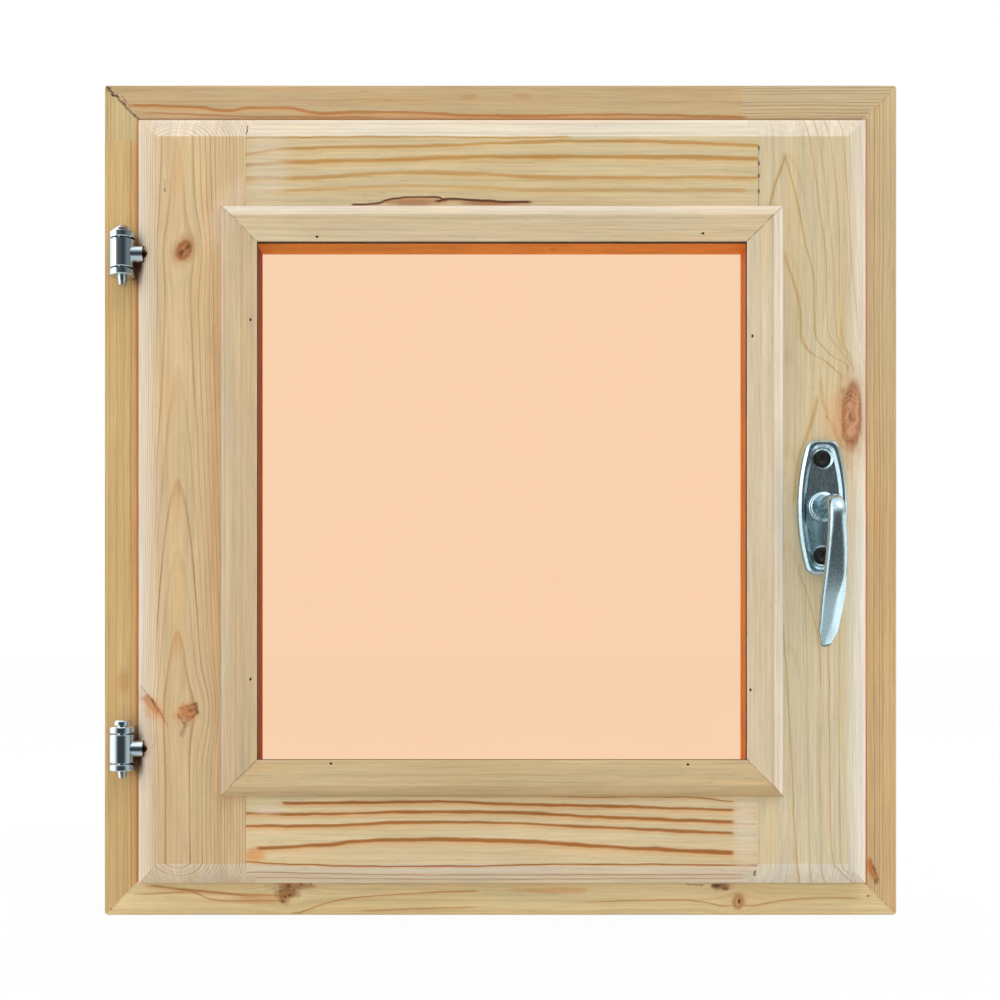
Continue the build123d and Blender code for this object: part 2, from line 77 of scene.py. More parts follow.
frame_edge = outer_edges("frame_left_jamb", "frame_right_jamb", "frame_sill", "frame_head")
lip = outer_edges("sash_left_stile", "sash_right_stile", "sash_bottom_rail", "sash_top_rail")
bead_outer = outer_edges(*(f"glazing_bead_{side}" for side in ("left", "right", "bottom", "top")))
hinge_boxes = [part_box(f"{place}_hinge_barrel") for place in ("upper", "lower")]
hinge_heights = [(low[2] + high[2]) / 2 / MM for low, high in hinge_boxes]


def srgb(red, green, blue):
    """A colour as a picture editor gives it, 0 to 255, made linear."""
    channels = [value / 255 for value in (red, green, blue)]
    linear = [c / 12.92 if c <= 0.04045 else ((c + 0.055) / 1.055) ** 2.4 for c in channels]
    return (*linear, 1.0)


def scaled(colour, factor):
    """A colour made darker or brighter."""
    return (*(channel * factor for channel in colour[:3]), 1.0)


class Field:
    """A number that varies over a surface, with arithmetic done by Math nodes."""

    def __init__(self, tree, socket):
        self.tree = tree
        self.socket = socket

    def math(self, operation, *others):
        node = self.tree.nodes.new("ShaderNodeMath")
        node.operation = operation
        for place, value in enumerate((self, *others)):
            if isinstance(value, Field):
                self.tree.links.new(value.socket, node.inputs[place])
            else:
                node.inputs[place].default_value = value
        return Field(self.tree, node.outputs[0])

    def __add__(self, other):
        return self.math("ADD", other)

    def __sub__(self, other):
        return self.math("SUBTRACT", other)

    def __mul__(self, other):
        return self.math("MULTIPLY", other)

    def __truediv__(self, other):
        return self.math("DIVIDE", other)

    def flipped(self):
        """One minus this."""
        return self.math("MULTIPLY_ADD", -1.0, 1.0)

    def ramp(self, low, high, interpolation="LINEAR"):
        """0 below low, 1 above high, with a straight rise between."""
        node = self.tree.nodes.new("ShaderNodeMapRange")
        node.interpolation_type = interpolation
        self.tree.links.new(self.socket, node.inputs["Value"])
        node.inputs["From Min"].default_value = low
        node.inputs["From Max"].default_value = high
        return Field(self.tree, node.outputs["Result"])

    def smooth(self, low, high):
        """0 below low, 1 above high, with a smooth rise between."""
        return self.ramp(low, high, "SMOOTHSTEP")


def length(first, second):
    """Length of a two-part vector of fields."""
    return first.math("MULTIPLY_ADD", first, second * second).math("SQRT")


def parts(tree, vector):
    """The X, Y and Z of a vector, as fields."""
    split = tree.nodes.new("ShaderNodeSeparateXYZ")
    tree.links.new(vector, split.inputs[0])
    return [Field(tree, socket) for socket in split.outputs]


def coordinates(tree):
    """The window's X, Y and Z in millimetres, as fields."""
    place = tree.nodes.new("ShaderNodeTexCoord")
    scale = tree.nodes.new("ShaderNodeVectorMath")
    scale.operation = "SCALE"
    scale.inputs["Scale"].default_value = 1 / MM
    tree.links.new(place.outputs["Object"], scale.inputs[0])
    return parts(tree, scale.outputs[0])


def noise(x, y, z, detail=2.0):
    """Smooth noise, about -0.5 to 0.5, of three fields."""
    tree = x.tree
    joined = tree.nodes.new("ShaderNodeCombineXYZ")
    for socket, field in zip(joined.inputs, (x, y, z)):
        tree.links.new(field.socket, socket)
    node = tree.nodes.new("ShaderNodeTexNoise")
    node.inputs["Scale"].default_value = 1.0
    node.inputs["Detail"].default_value = detail
    tree.links.new(joined.outputs[0], node.inputs["Vector"])
    return Field(tree, node.outputs[0]) - 0.5


def chance(field):
    """A random number from 0 to 1 for each value of a field."""
    node = field.tree.nodes.new("ShaderNodeTexWhiteNoise")
    node.noise_dimensions = "1D"
    field.tree.links.new(field.socket, node.inputs["W"])
    return Field(field.tree, node.outputs["Value"])


def feed(tree, socket, value):
    """Links a colour socket, or sets a plain colour on an input."""
    if isinstance(value, tuple):
        socket.default_value = value
    else:
        tree.links.new(value, socket)


def mixed(factor, first, second, blend="MIX"):
    """Colour between first and second by a field."""
    node = factor.tree.nodes.new("ShaderNodeMix")
    node.data_type = "RGBA"
    node.blend_type = blend
    factor.tree.links.new(factor.socket, node.inputs[0])
    feed(factor.tree, node.inputs[6], first)
    feed(factor.tree, node.inputs[7], second)
    return node.outputs[2]


def brightened(colour, field):
    """Colour times a field."""
    node = field.tree.nodes.new("ShaderNodeVectorMath")
    node.operation = "SCALE"
    field.tree.links.new(colour, node.inputs[0])
    field.tree.links.new(field.socket, node.inputs["Scale"])
    return node.outputs[0]


def new_material(name):
    """A material with one Principled shader, and the shader."""
    material = bpy.data.materials.new(name)
    material.use_nodes = True
    return material, material.node_tree.nodes["Principled BSDF"]


def bumped(shader, height, distance_mm, strength):
    """Raises a shader's surface by a field."""
    tree = height.tree
    bump = tree.nodes.new("ShaderNodeBump")
    bump.inputs["Strength"].default_value = strength
    bump.inputs["Distance"].default_value = distance_mm * MM
    tree.links.new(height.socket, bump.inputs["Height"])
    tree.links.new(bump.outputs["Normal"], shader.inputs["Normal"])


CRACK = srgb(52, 34, 20)
MITRE = srgb(112, 82, 52)
BARK = srgb(84, 50, 32)
# Rounded edges: paler wood with a painted highlight, and a pink painted highlight along their rim
PALE_EDGE_HIGHLIGHT = srgb(225, 216, 200)
PINK_RIM_HIGHLIGHT = srgb(242, 228, 216)
WARM_TINT = (1.0, 0.92, 0.79, 1.0)
BLUSH_TINT = (1.0, 0.95, 0.96, 1.0)
DULL_TINT = (0.93, 0.97, 0.98, 1.0)
# Sides of the sash facing the opening: painted light, pine coloured orange as if lit through the tinted pane,
# in a shaded, a middle and a bright copy
REVEAL_PAINTED_LIGHT = srgb(240, 164, 78)
REVEAL_PAINTED_SHADE = srgb(170, 96, 46)
REVEAL_PAINTED_BRIGHT_LIGHT = srgb(255, 186, 94)
# Dark teal for a painted dark reflection on the hinge zinc
ZINC_DARK_REFLECTION = srgb(96, 116, 124)


def course(field, stops, eased=True):
    """Value that runs through (place, value) stops along a field, in a smooth curve or straight stretches."""
    if len(stops) == 1:
        return field * 0 + stops[0][1]
    begin, end = stops[0][0], stops[-1][0]
    low = min(value for _, value in stops)
    span = max(value for _, value in stops) - low or 1.0
    node = field.tree.nodes.new("ShaderNodeFloatCurve")
    curve = node.mapping.curves[0]
    while len(curve.points) < len(stops):
        curve.points.new(0, 0)
    for point, (place, value) in zip(curve.points, stops):
        point.location = ((place - begin) / (end - begin), (value - low) / span)
        point.handle_type = "AUTO_CLAMPED" if eased else "VECTOR"
    node.mapping.extend = "HORIZONTAL"
    node.mapping.update()
    field.tree.links.new(field.ramp(begin, end).socket, node.inputs["Value"])
    return Field(field.tree, node.outputs[0]).math("MULTIPLY_ADD", span, low)


def turned(x, z, centre, degrees):
    """Fields along and across an axis through a centre, tilted from upright."""
    from_x, from_z = x - centre[0], z - centre[1]
    if not degrees:
        return from_z, from_x
    cosine, sine = math.cos(math.radians(degrees)), math.sin(math.radians(degrees))
    return from_z * cosine + from_x * sine, from_x * cosine - from_z * sine


class Board:
    """One planed pine board, its surface built up in layers. Places are the window's X and Z."""

    def __init__(self, name, grain, face, seed):
        self.material, self.shader = new_material(name)
        self.tree = self.material.node_tree
        self.x, self.y, self.z = coordinates(self.tree)
        self.along, self.across = (self.x, self.z) if grain == "X" else (self.z, self.x)
        self.start = self.along + seed
        self.into = self.y - face
        self.near_face = self.into.smooth(9.0, 18.0).flipped()
        self.seed = seed
        self.bent = self.across
        geometry = self.tree.nodes.new("ShaderNodeNewGeometry")
        self.facing = parts(self.tree, geometry.outputs["Normal"])
        self.flat_facing = parts(self.tree, geometry.outputs["True Normal"])
        deep = self.y / 25
        self.ripple = noise(self.start / 16, self.across / 30, deep) * 1.4
        self.swell = noise(self.start / 34 + 5, self.across / 9, deep) * 1.3
        self.tatter = noise(self.x / 5 + seed, deep, self.z / 5, 3.0)
        self.jag = noise(self.x / 2.5 + 3, deep, self.z / 2.5) * 3
        self.dots = noise(self.x / 3 + seed, deep, self.z / 3).smooth(-0.12, 0.16)
        self.fine = noise(self.x / 1.3 + seed, deep, self.z / 1.3)

    def lay(self, share, colour, blend="MIX"):
        """Lays a colour over the board by a share."""
        self.colour = mixed(share, self.colour, colour, blend)

    def settle(self):
        """Keeps the marks laid so far near the board's face, so that its back is plain."""
        self.colour = mixed(self.near_face, self.plain, self.colour)
        self.plain = self.colour

    def bend(self, place, half_along, half_across, push):
        """Grain that parts round a knot."""
        knot_along, knot_across = place if self.along is self.x else place[::-1]
        reach_along = (self.along - knot_along) / (half_along * 2.4)
        reach_across = (self.across - knot_across) / (half_across * 2.4)
        near = ((reach_along * reach_along + reach_across * reach_across) * -1).math("EXPONENT")
        self.bent = self.bent - near * push * (self.across - knot_across)

    def rings(self, pith, depth, ring, early, late, pith_side=1, tilt=0.0, warp=1.0, contrast=0.8,
              late_from=0.6, phase=0.0, spread=1.0, splice=None, pale=None, uneven=0.65, calm=0.0):
        """Growth rings round a pith line, at pith across the face and depth from it.

        depth is a list of stops along the board. pith_side is 1 with the pith before the face, -1 with it
        behind. Beyond a splice, given as (place, spacing, boost, tint), another piece of wood begins. pale
        gives how much paler the rounded edges are that face up, sideways and down: partly paler wood, partly
        a painted highlight where they face the light. uneven is how much the rings differ from each other,
        calm how much fainter they are over the pith line."""
        drift = noise(self.start / 130, self.across / 60, self.y / 60) * (2 * warp)
        wobble = noise(self.start / 26, self.across / 8, self.y / 8) * (0.5 * warp)
        self.bent = self.bent + drift + wobble + self.along * tilt
        from_pith = course(self.along, depth, eased=False) + self.into * pith_side
        radius = length(self.bent - pith, from_pith)
        swing = noise(radius / (3.2 * ring), radius * 0, radius * 0 + self.seed) * spread
        count = radius / ring + swing + phase
        strength = contrast
        if splice is not None:
            place, spacing, boost, tint = splice
            beyond = self.along.math("GREATER_THAN", place)
            count = count * (beyond * (ring / spacing - 1) + 1)
            strength = beyond * (boost - contrast) + contrast
        share = count.math("FRACT")
        late_wood = share.smooth(late_from, 0.93) * share.smooth(0.95, 1.0).flipped()
        own = chance(count.math("FLOOR") + self.seed) * uneven + (1 - uneven)
        patchy = noise(self.start / 42, radius / 2.0, self.y / 40) * 1.3 + 0.9
        late_wood = late_wood * own * patchy.math("MAXIMUM", 0.2)
        self.late = late
        self.colour = early
        if pale is not None:
            self.pale_highlit_edges(*pale)
        beside_pith = (self.bent - pith).math("ABSOLUTE").smooth(2.0, 10.0)
        self.lay(late_wood * (beside_pith * calm + (1 - calm)) * strength, late)
        if splice is not None:
            self.lay(beyond, tint, "MULTIPLY")
        self.plain = self.colour

    def pale_highlit_edges(self, top, sides, bottom, slopes=0.0):
        """Rounded edges made paler, palest at their rim: partly paler wood, partly a painted highlight where
        they face the light. slopes is for faces tilted sideways.
        """
        upward = self.facing[2].smooth(0.1, 0.32) * top
        from_side = (self.x - lip["left"]).math("MINIMUM", self.x * -1 + lip["right"])
        level = self.facing[2].math("ABSOLUTE").smooth(0.1, 0.3).flipped()
        tilted = self.facing[0].math("ABSOLUTE").smooth(0.1, 0.32) * slopes
        sideways = (from_side.smooth(4.0, 18.0).flipped() * level * sides).math("MAXIMUM", tilted)
        downward = (self.facing[2] * -1).smooth(0.1, 0.32) * bottom
        bright = upward.math("MAXIMUM", sideways)
        self.lay(bright.math("MAXIMUM", downward), PALE_EDGE_HIGHLIGHT)
        self.lay(bright * self.facing[1].smooth(-0.82, -0.62), PINK_RIM_HIGHLIGHT)

    def line(self, stops, half_width, strength, colour, glow=None, fade=6.0):
        """One dark line through (along, across) stops, sharp on one side with a glow on the other: growth
        lines, and on the left jamb a strip of painted shade.
        """
        height = course(self.along, stops)
        away = self.across + self.ripple - height
        begin, end = stops[0][0], stops[-1][0]
        span = self.along.smooth(begin - fade, begin) * self.along.smooth(end, end + fade).flipped()
        if glow is not None:
            soft = away.smooth(half_width * -3.6, 0.0) * away.smooth(0.0, half_width).flipped()
            self.lay(soft * span * (strength * 0.7), glow)
        from_core = away.math("ABSOLUTE") - self.swell * half_width
        core = from_core.smooth(half_width * 0.3, half_width * 1.25).flipped()
        self.lay(core * span * strength, colour)

    def patch(self, place, half_wide, half_tall, strength, colour, degrees=0.0, ragged=0.8):
        """A soft ragged patch of colour, used for stains and also for painted shade."""
        tall, wide = turned(self.x, self.z, place, degrees)
        from_middle = length(wide / half_wide, tall / half_tall)
        inside = self.tatter.math("MULTIPLY_ADD", ragged, from_middle)
        self.lay(inside.smooth(0.3, 1.15).flipped() * strength, colour)

    def knot(self, place, half_wide, half_tall, degrees, heart, rim):
        """A knot: mottled heartwood, broken rings and a dark rim."""
        tall, wide = turned(self.x, self.z, place, degrees)
        fine, coarse = self.fine, self.tatter
        inside = length(wide / half_wide, tall / half_tall) + coarse * 0.5 + fine * 0.25
        self.lay(inside.smooth(0.9, 2.3).flipped() * 0.4, self.late)
        self.lay(inside.smooth(0.75, 1.15).flipped() * 0.9, heart)
        broken = (inside * 10 + coarse * 5).math("SINE") * 0.35 + 0.4 + fine * 1.6
        self.lay(inside.smooth(0.7, 1.1).flipped() * broken.ramp(0.0, 1.0) * 0.75, rim)
        edge = inside.smooth(0.7, 0.95) * inside.smooth(0.98, 1.25).flipped()
        self.lay(edge * (coarse * 2.0 + 0.5).math("MAXIMUM", 0.0), rim)

    def crack(self, begin, end, half_width, strength, broken=0.0, colour=CRACK):
        """A dark split, dotted where broken is over 0."""
        run, rise = end[0] - begin[0], end[1] - begin[1]
        jag = self.jag * half_width
        from_x, from_z = self.x - begin[0] + jag, self.z - begin[1] + jag
        share = ((from_x * run + from_z * rise) / (run * run + rise * rise)).ramp(0.0, 1.0)
        away = length(from_x - share * run, from_z - share * rise)
        dark = away.smooth(half_width * 0.4, half_width * 1.5).flipped() * strength
        if broken:
            dark = dark * (self.dots * broken + (1 - broken))
        self.lay(dark, colour)

    def tint(self, stops, colour):
        """A tint by share along the board."""
        share = course(self.along, stops)
        self.lay(share, colour, "MULTIPLY")
        self.plain = mixed(share, self.plain, colour, "MULTIPLY")

    def beside_sash(self, strength, reach, colour):
        """Painted shade on the frame along the sash's lip, as far as reach past it."""
        past_side = (self.x * -1 + lip["left"]).math("MAXIMUM", self.x - lip["right"])
        past_end = (self.z * -1 + lip["bottom"]).math("MAXIMUM", self.z - lip["top"])
        outside = past_side.math("MAXIMUM", past_end)
        on_face = self.into.smooth(0.3, 2.0).flipped()
        self.lay(outside.smooth(reach - 1.8, reach).flipped() * on_face * strength, colour)

    def colour_side(self, direction, colour, share):
        """Colours the flat side that faces a direction along X or Z."""
        self.settle()
        axis, sign = direction
        side = (self.flat_facing[axis] * sign).smooth(0.93, 0.99)
        # Uneven share of the side's colour
        side_share = noise(self.x / 5, self.y / 2, self.z / 5) * 0.3 + share
        self.lay(side * side_share, colour)
        self.plain = self.colour

    def finish(self):
        """Fibre, streaks and clouds over the whole board. Returns its material."""
        self.settle()
        fibre = noise(self.start / 26, self.bent / 0.75, self.y / 9, 3.0)
        streak = noise(self.start / 150, self.bent / 2.0, self.y / 12, 2.0)
        cloud = noise(self.start / 90, self.across / 22, self.y / 22, 1.0)
        pores = noise(self.start / 7, self.bent / 0.6 + 31, self.y / 6, 1.0).smooth(0.14, 0.3)
        warmth = noise(self.start / 120 + 7, self.bent / 9, self.y / 9, 1.0).smooth(-0.15, 0.3)
        blush = noise(self.start / 60 + 19, self.bent / 4, self.y / 4, 1.0).smooth(-0.05, 0.25)
        dimmed = noise(self.start / 80 + 43, self.bent / 6, self.y / 9, 1.0).smooth(-0.05, 0.25)
        self.lay(warmth * 0.7, WARM_TINT, "MULTIPLY")
        self.lay(blush * 0.7, BLUSH_TINT, "MULTIPLY")
        self.lay(dimmed * 0.8, DULL_TINT, "MULTIPLY")
        shade = fibre * 0.46 + streak * 0.34 + cloud * 0.2 - pores * 0.2 + 1.0
        self.tree.links.new(brightened(self.colour, shade), self.shader.inputs["Base Color"])
        roughness = fibre * 0.2 + 0.62
        self.tree.links.new(roughness.socket, self.shader.inputs["Roughness"])
        self.shader.inputs["Specular IOR Level"].default_value = 0.3
        relief = noise(self.start / 26, self.across / 0.75, self.y / 9, 1.0)
        bumped(self.shader, relief, 0.14, 0.5)
        return self.material


def paint(node, material):
    """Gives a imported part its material."""
    mesh_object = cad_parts[node]
    mesh_object.data.materials.clear()
    mesh_object.data.materials.append(material)


# Shared wood colours
HEART = srgb(176, 112, 62)
KNOT_RIM = srgb(124, 72, 36)
PINK_HEART = srgb(190, 140, 102)
PINK_RIM = srgb(140, 84, 48)
DARK_LINE = srgb(156, 100, 46)
LINE_GLOW = srgb(208, 150, 86)
OLIVE_LINE = srgb(172, 128, 66)
STILE_LINE = srgb(166, 132, 78)
STILE_GLOW = srgb(200, 170, 112)
OLIVE_GLOW = srgb(204, 170, 106)
ORANGE = srgb(204, 140, 76)
PALE = srgb(212, 198, 176)
APEX_GLOW = srgb(206, 158, 104)
# Painted shade in the corner beside each hinge and in the hole round its shank
HINGE_SHADE = srgb(70, 42, 24)

# Left stile: arches of grain up its middle, a small knot above and two spike knots below
left_stile = Board("pine_left_stile", "Z", sash_face, 0.0)
left_stile.bend((-197.0, 416.7), 8.0, 4.5, 0.8)
left_stile.bend((-194.4, 130.0), 9.0, 6.0, 0.8)
left_stile.bend((-216.0, 133.0), 9.0, 5.0, 0.6)
left_stile.rings(
    pith=-200.9, ring=1.5, early=srgb(199, 173, 132), late=srgb(146, 104, 62), phase=-0.07, spread=0.1,
    depth=[
        (0, 25.75), (140, 25.9), (178.6, 27.0), (228.3, 28.5), (270.6, 30.0), (337.1, 31.5), (481.4, 33.0),
        (526, 33.5),
    ],
    warp=0.9, late_from=0.66, contrast=0.95, pale=(0.6, 0.65, 0.5), calm=0.6,
)
for glow_z, glow_tall in ((462.0, 22.0), (325.0, 20.0), (262.0, 16.0), (170.0, 14.0)):
    left_stile.patch((-201.7, glow_z), 3.4, glow_tall, 0.4, APEX_GLOW, ragged=0.5)
left_stile.patch((-170.0, 440.0), 12.0, 30.0, 0.35, PALE, degrees=25)
left_stile.patch((-172.0, 250.0), 15.0, 240.0, 0.5, srgb(190, 146, 98), ragged=0.5)
left_stile.patch((-197.0, 416.7), 7.5, 10.5, 0.5, ORANGE, degrees=28)
left_stile.knot((-197.0, 416.7), 4.3, 6.2, 28, HEART, KNOT_RIM)
left_stile.patch((-198.5, 415.0), 2.0, 3.0, 0.85, BARK, degrees=28)
left_stile.patch((-194.8, 418.6), 1.7, 2.6, 0.8, BARK, degrees=28)
left_stile.patch((-216.5, 132.0), 7.0, 13.5, 0.6, ORANGE, degrees=-40, ragged=1.2)
left_stile.patch((-217.0, 133.0), 4.0, 11.5, 0.55, HEART, degrees=-44, ragged=1.2)
for row in range(4):
    crack_begin = (-225.0 + row * 2.6, 145.0 - row * 2.6)
    crack_end = (-214.0 + row * 2.2, 134.0 - row * 4.2)
    left_stile.crack(crack_begin, crack_end, 0.6, 0.65, broken=0.7, colour=KNOT_RIM)
left_stile.patch((-195.5, 128.5), 11.0, 8.0, 0.55, ORANGE, degrees=-30, ragged=1.2)
left_stile.patch((-194.0, 130.0), 7.5, 5.5, 0.75, HEART, degrees=-28, ragged=1.2)
left_stile.crack((-199.5, 131.5), (-190.0, 134.5), 0.9, 0.6, broken=0.6, colour=KNOT_RIM)
left_stile.crack((-190.0, 134.5), (-188.6, 129.0), 1.2, 0.8, broken=0.2, colour=BARK)
left_stile.crack((-188.6, 129.0), (-193.5, 125.0), 1.0, 0.7, broken=0.5, colour=KNOT_RIM)
left_stile.crack((-201.0, 128.0), (-196.0, 121.0), 0.8, 0.6, broken=0.5, colour=KNOT_RIM)
left_stile.crack((-194.5, 126.0), (-198.5, 114.6), 1.3, 0.5, broken=0.4, colour=KNOT_RIM)
left_stile.patch((-193.0, 130.5), 2.4, 1.8, 0.7, KNOT_RIM)
left_stile.crack((-209.0, 460.0), (-208.7, 453.0), 0.6, 0.5, broken=0.5)
# Painted shade beside each hinge, where the barrel meets the sash's lip
for hinge_z in hinge_heights:
    left_stile.patch((lip["left"], hinge_z - 4.0), 5.0, 17.0, 1.0, HINGE_SHADE, ragged=0.5)
# Painted shade: the left stile's side facing the opening, shaded and lit through the tinted pane
left_stile.colour_side((0, 1), REVEAL_PAINTED_SHADE, 0.95)

# Right stile: faint wide arches, and a tall oval knot above the handle
right_stile = Board("pine_right_stile", "Z", sash_face, 311.0)
right_stile.bend((219.0, 314.0), 20.0, 7.0, 0.8)
right_stile.rings(
    pith=178.6, depth=[(0, 20.3), (526, 45.5)], ring=2.9, early=srgb(197, 180, 145), late=srgb(168, 130, 74),
    pith_side=-1, warp=1.3, contrast=0.22, late_from=0.78, phase=0.1, spread=0.15, pale=(0.6, 0.6, 0.55),
)
for stops, half_width, strength in (
    (
        [(339, 211.4), (348, 201.1), (353, 193.0), (362, 187.2), (383, 185.7), (397, 182.1), (412, 176.9)],
        1.1, 0.5,
    ),
    (
        [(345, 215.7), (356, 201.1), (367, 195.2), (400, 194.5), (421, 189.3), (438, 186.4), (473, 177.4)],
        0.65, 0.6,
    ),
    ([(344, 220.1), (356, 209.9), (368, 203.3), (417, 201.8), (438, 198.9), (501, 190.0)], 0.45, 0.5),
    ([(352, 215.7), (368, 208.4), (394, 207.7), (438, 204.0), (501, 196.0)], 0.4, 0.42),
    ([(349, 218.6), (368, 211.4), (438, 209.9), (501, 203.0)], 0.4, 0.42),
    ([(363, 224.5), (380, 222.3), (409, 218.6), (438, 216.5), (501, 212.0)], 0.4, 0.42),
    ([(446, 167.4), (460, 171.6), (473, 176.4)], 0.8, 0.7),
    ([(262, 182.5), (285, 185.0), (299, 189.3), (310, 193.5), (322, 196.8)], 1.3, 0.5),
    ([(316, 203.5), (322, 200.5), (334, 199.0)], 1.0, 0.4),
    ([(22, 187.5), (38, 184.2), (104, 180.6), (150, 178.0), (173, 176.2), (232, 172.0)], 0.55, 0.5),
    ([(22, 195.0), (38, 192.1), (130, 190.8), (205, 189.5)], 0.5, 0.4),
    ([(22, 204.0), (38, 199.2), (200, 198.4)], 0.5, 0.35),
    ([(22, 221.0), (31, 211.0), (38, 206.3), (107, 204.5), (171, 203.7), (215, 203.0)], 0.45, 0.65),
    ([(28, 220.0), (38, 211.5), (250, 209.8)], 0.5, 0.45),
    ([(150, 199.0), (174, 197.5), (197, 192.1), (217, 185.1)], 0.7, 0.35),
):
    right_stile.line(stops, half_width, strength, STILE_LINE, glow=STILE_GLOW)
right_stile.tint([(60, 0.0), (240, 1.0), (526, 1.0)], (0.97, 0.97, 0.97, 1.0))
right_stile.tint([(20, 1.0), (180, 1.0), (300, 0.0)], (1.04, 1.09, 1.16, 1.0))
right_stile.patch((207.0, 312.0), 9.0, 22.0, 0.35, srgb(206, 158, 106))
for row in range(7):
    dash_x, dash_z = 202.5 + row * 1.3, 313.0 - row * 2.8
    right_stile.crack((dash_x, dash_z), (dash_x + 4.5, dash_z - 4.5), 0.6, 0.5, broken=0.6, colour=DARK_LINE)
right_stile.patch((213.5, 314.0), 9.0, 24.0, 0.5, srgb(206, 156, 108), ragged=0.9)
right_stile.knot((219.0, 314.1), 6.4, 20.5, 3, PINK_HEART, PINK_RIM)
right_stile.patch((217.6, 311.5), 2.2, 4.5, 0.5, KNOT_RIM)
right_stile.patch((221.5, 300.0), 2.6, 4.5, 0.45, PINK_RIM)
right_stile.crack((224.6, 326.0), (225.2, 302.0), 0.8, 0.4, broken=0.4, colour=PINK_RIM)
for arch in range(3):
    arch_z = 329.0 - arch * 2.6
    right_stile.crack((214.2, arch_z - 2.0), (217.6, arch_z), 0.7, 0.6, broken=0.2, colour=PINK_RIM)
    right_stile.crack((217.6, arch_z), (221.5, arch_z - 2.2), 0.7, 0.6, broken=0.2, colour=PINK_RIM)
right_stile.crack((212.6, 330.0), (213.4, 300.0), 1.3, 0.6, broken=0.6, colour=PINK_RIM)
right_stile.crack((160.3, 482.0), (160.2, 444.0), 0.35, 0.5, broken=0.5)
for dot_z in (480.2, 470.5, 462.9, 453.3):
    right_stile.patch((160.2, dot_z), 1.1, 2.0, 0.9, CRACK, ragged=0.3)
# Painted light: the right stile's side facing the opening, lit through the tinted pane
right_stile.colour_side((0, -1), REVEAL_PAINTED_LIGHT, 0.95)

# Top rail: five olive growth lines, and a seam of bark that the bead half covers
top_rail = Board("pine_top_rail", "X", sash_face, 97.0)
top_rail.rings(
    pith=180.0, depth=[(0, 4.0)], ring=6.1, early=srgb(194, 176, 138), late=srgb(178, 142, 88), warp=1.2,
    contrast=0.35, pale=(0.65, 0.0, 0.0),
)
for stops, half_width, strength in (
    ([(-158, 486.4), (-50, 487.2), (0, 486.6), (40, 487.0)], 0.7, 0.7),
    (
        [(-158, 476.0), (-126, 480.0), (-50, 481.4), (10, 483.6), (62, 484.6), (124, 483.2), (160, 481.6)],
        1.2, 0.85,
    ),
    ([(-158, 469.4), (-126, 471.4), (-50, 473.3), (0, 474.7), (62, 474.7), (160, 473.7)], 1.7, 0.9),
    ([(-158, 460.8), (-117, 461.5), (-50, 464.7), (10, 462.7), (70, 461.7), (160, 461.7)], 1.4, 0.75),
    ([(-145, 452.8), (-104, 454.8), (-50, 456.5), (30, 454.0), (149, 454.0)], 1.3, 0.5),
):
    top_rail.line(stops, half_width, strength, OLIVE_LINE, glow=OLIVE_GLOW)
top_rail.patch((-145.0, 470.0), 17.0, 32.0, 0.4, PALE, ragged=0.4)
top_rail.patch((-54.0, 446.4), 22.0, 3.0, 0.85, srgb(162, 114, 80), ragged=0.4)
top_rail.patch((-8.0, 445.8), 22.0, 1.8, 0.8, srgb(140, 76, 40), ragged=0.4)
top_rail.line(
    [(-91, 444.9), (-78, 445.5), (-71, 447.7), (-63, 449.0), (-50, 449.6), (-42, 449.8), (-35, 447.8)],
    0.8, 1.0, BARK, glow=HEART, fade=3.0,
)
top_rail.line(
    [(-38, 447.2), (-31, 448.6), (-20, 447.9), (-4, 446.9), (16, 446.6)],
    0.9, 1.0, BARK, glow=HEART, fade=5.0,
)
top_rail.crack((-158.2, 496.5), (-158.6, 489.0), 0.7, 1.0)
# Painted light: the top rail's underside, brightly lit through the tinted pane
top_rail.colour_side((2, -1), REVEAL_PAINTED_BRIGHT_LIGHT, 0.95)

# Bottom rail: five sharp brown growth lines
bottom_rail = Board("pine_bottom_rail", "X", sash_face, 523.0)
bottom_rail.rings(
    pith=-220.0, depth=[(0, 4.0)], ring=7.3, early=srgb(206, 187, 148), late=srgb(188, 154, 104), warp=1.0,
    contrast=0.25, pale=(0.0, 0.0, 0.6),
)
for stops, half_width, strength in (
    ([(20, 77.0), (60, 76.6), (100, 76.8), (143, 73.8)], 0.5, 0.75),
    ([(-134, 73.0), (-70, 73.2), (-40, 73.8), (0, 72.2), (62, 71.1), (143, 68.4)], 1.15, 1.0),
    ([(-158, 66.4), (-125, 66.0), (-40, 67.4), (62, 64.2), (143, 61.1)], 1.2, 1.0),
    ([(-158, 58.6), (-125, 58.6), (-45, 61.0), (62, 57.7), (143, 54.0)], 1.1, 0.95),
    ([(-150, 44.6), (-115, 46.4), (-60, 50.2), (-10, 49.8), (62, 46.0), (143, 42.0)], 1.45, 1.0),
    ([(-158, 36.4), (-125, 34.6), (-50, 33.4), (62, 34.8), (158, 34.0)], 0.6, 0.9),
    ([(-158, 29.5), (0, 27.6), (150, 28.0)], 0.4, 0.5),
    ([(-158, 26.0), (0, 24.6), (150, 25.2)], 0.4, 0.5),
    ([(145, 67.8), (157, 67.2)], 0.9, 0.3),
    ([(145, 60.4), (157, 60.0)], 0.9, 0.3),
    ([(145, 53.4), (157, 53.0)], 0.9, 0.3),
):
    bottom_rail.line(stops, half_width, strength, DARK_LINE, glow=LINE_GLOW, fade=3.0)
bottom_rail.patch((-153.5, 40.5), 8.0, 5.5, 0.75, ORANGE)
bottom_rail.patch((152.0, 52.0), 9.0, 34.0, 0.6, PALE, ragged=0.3)
bottom_rail.patch((-145.0, 69.0), 15.0, 4.0, 0.5, PALE, ragged=0.5)
bottom_rail.crack((158.6, 30.0), (158.2, 26.0), 0.6, 0.8)
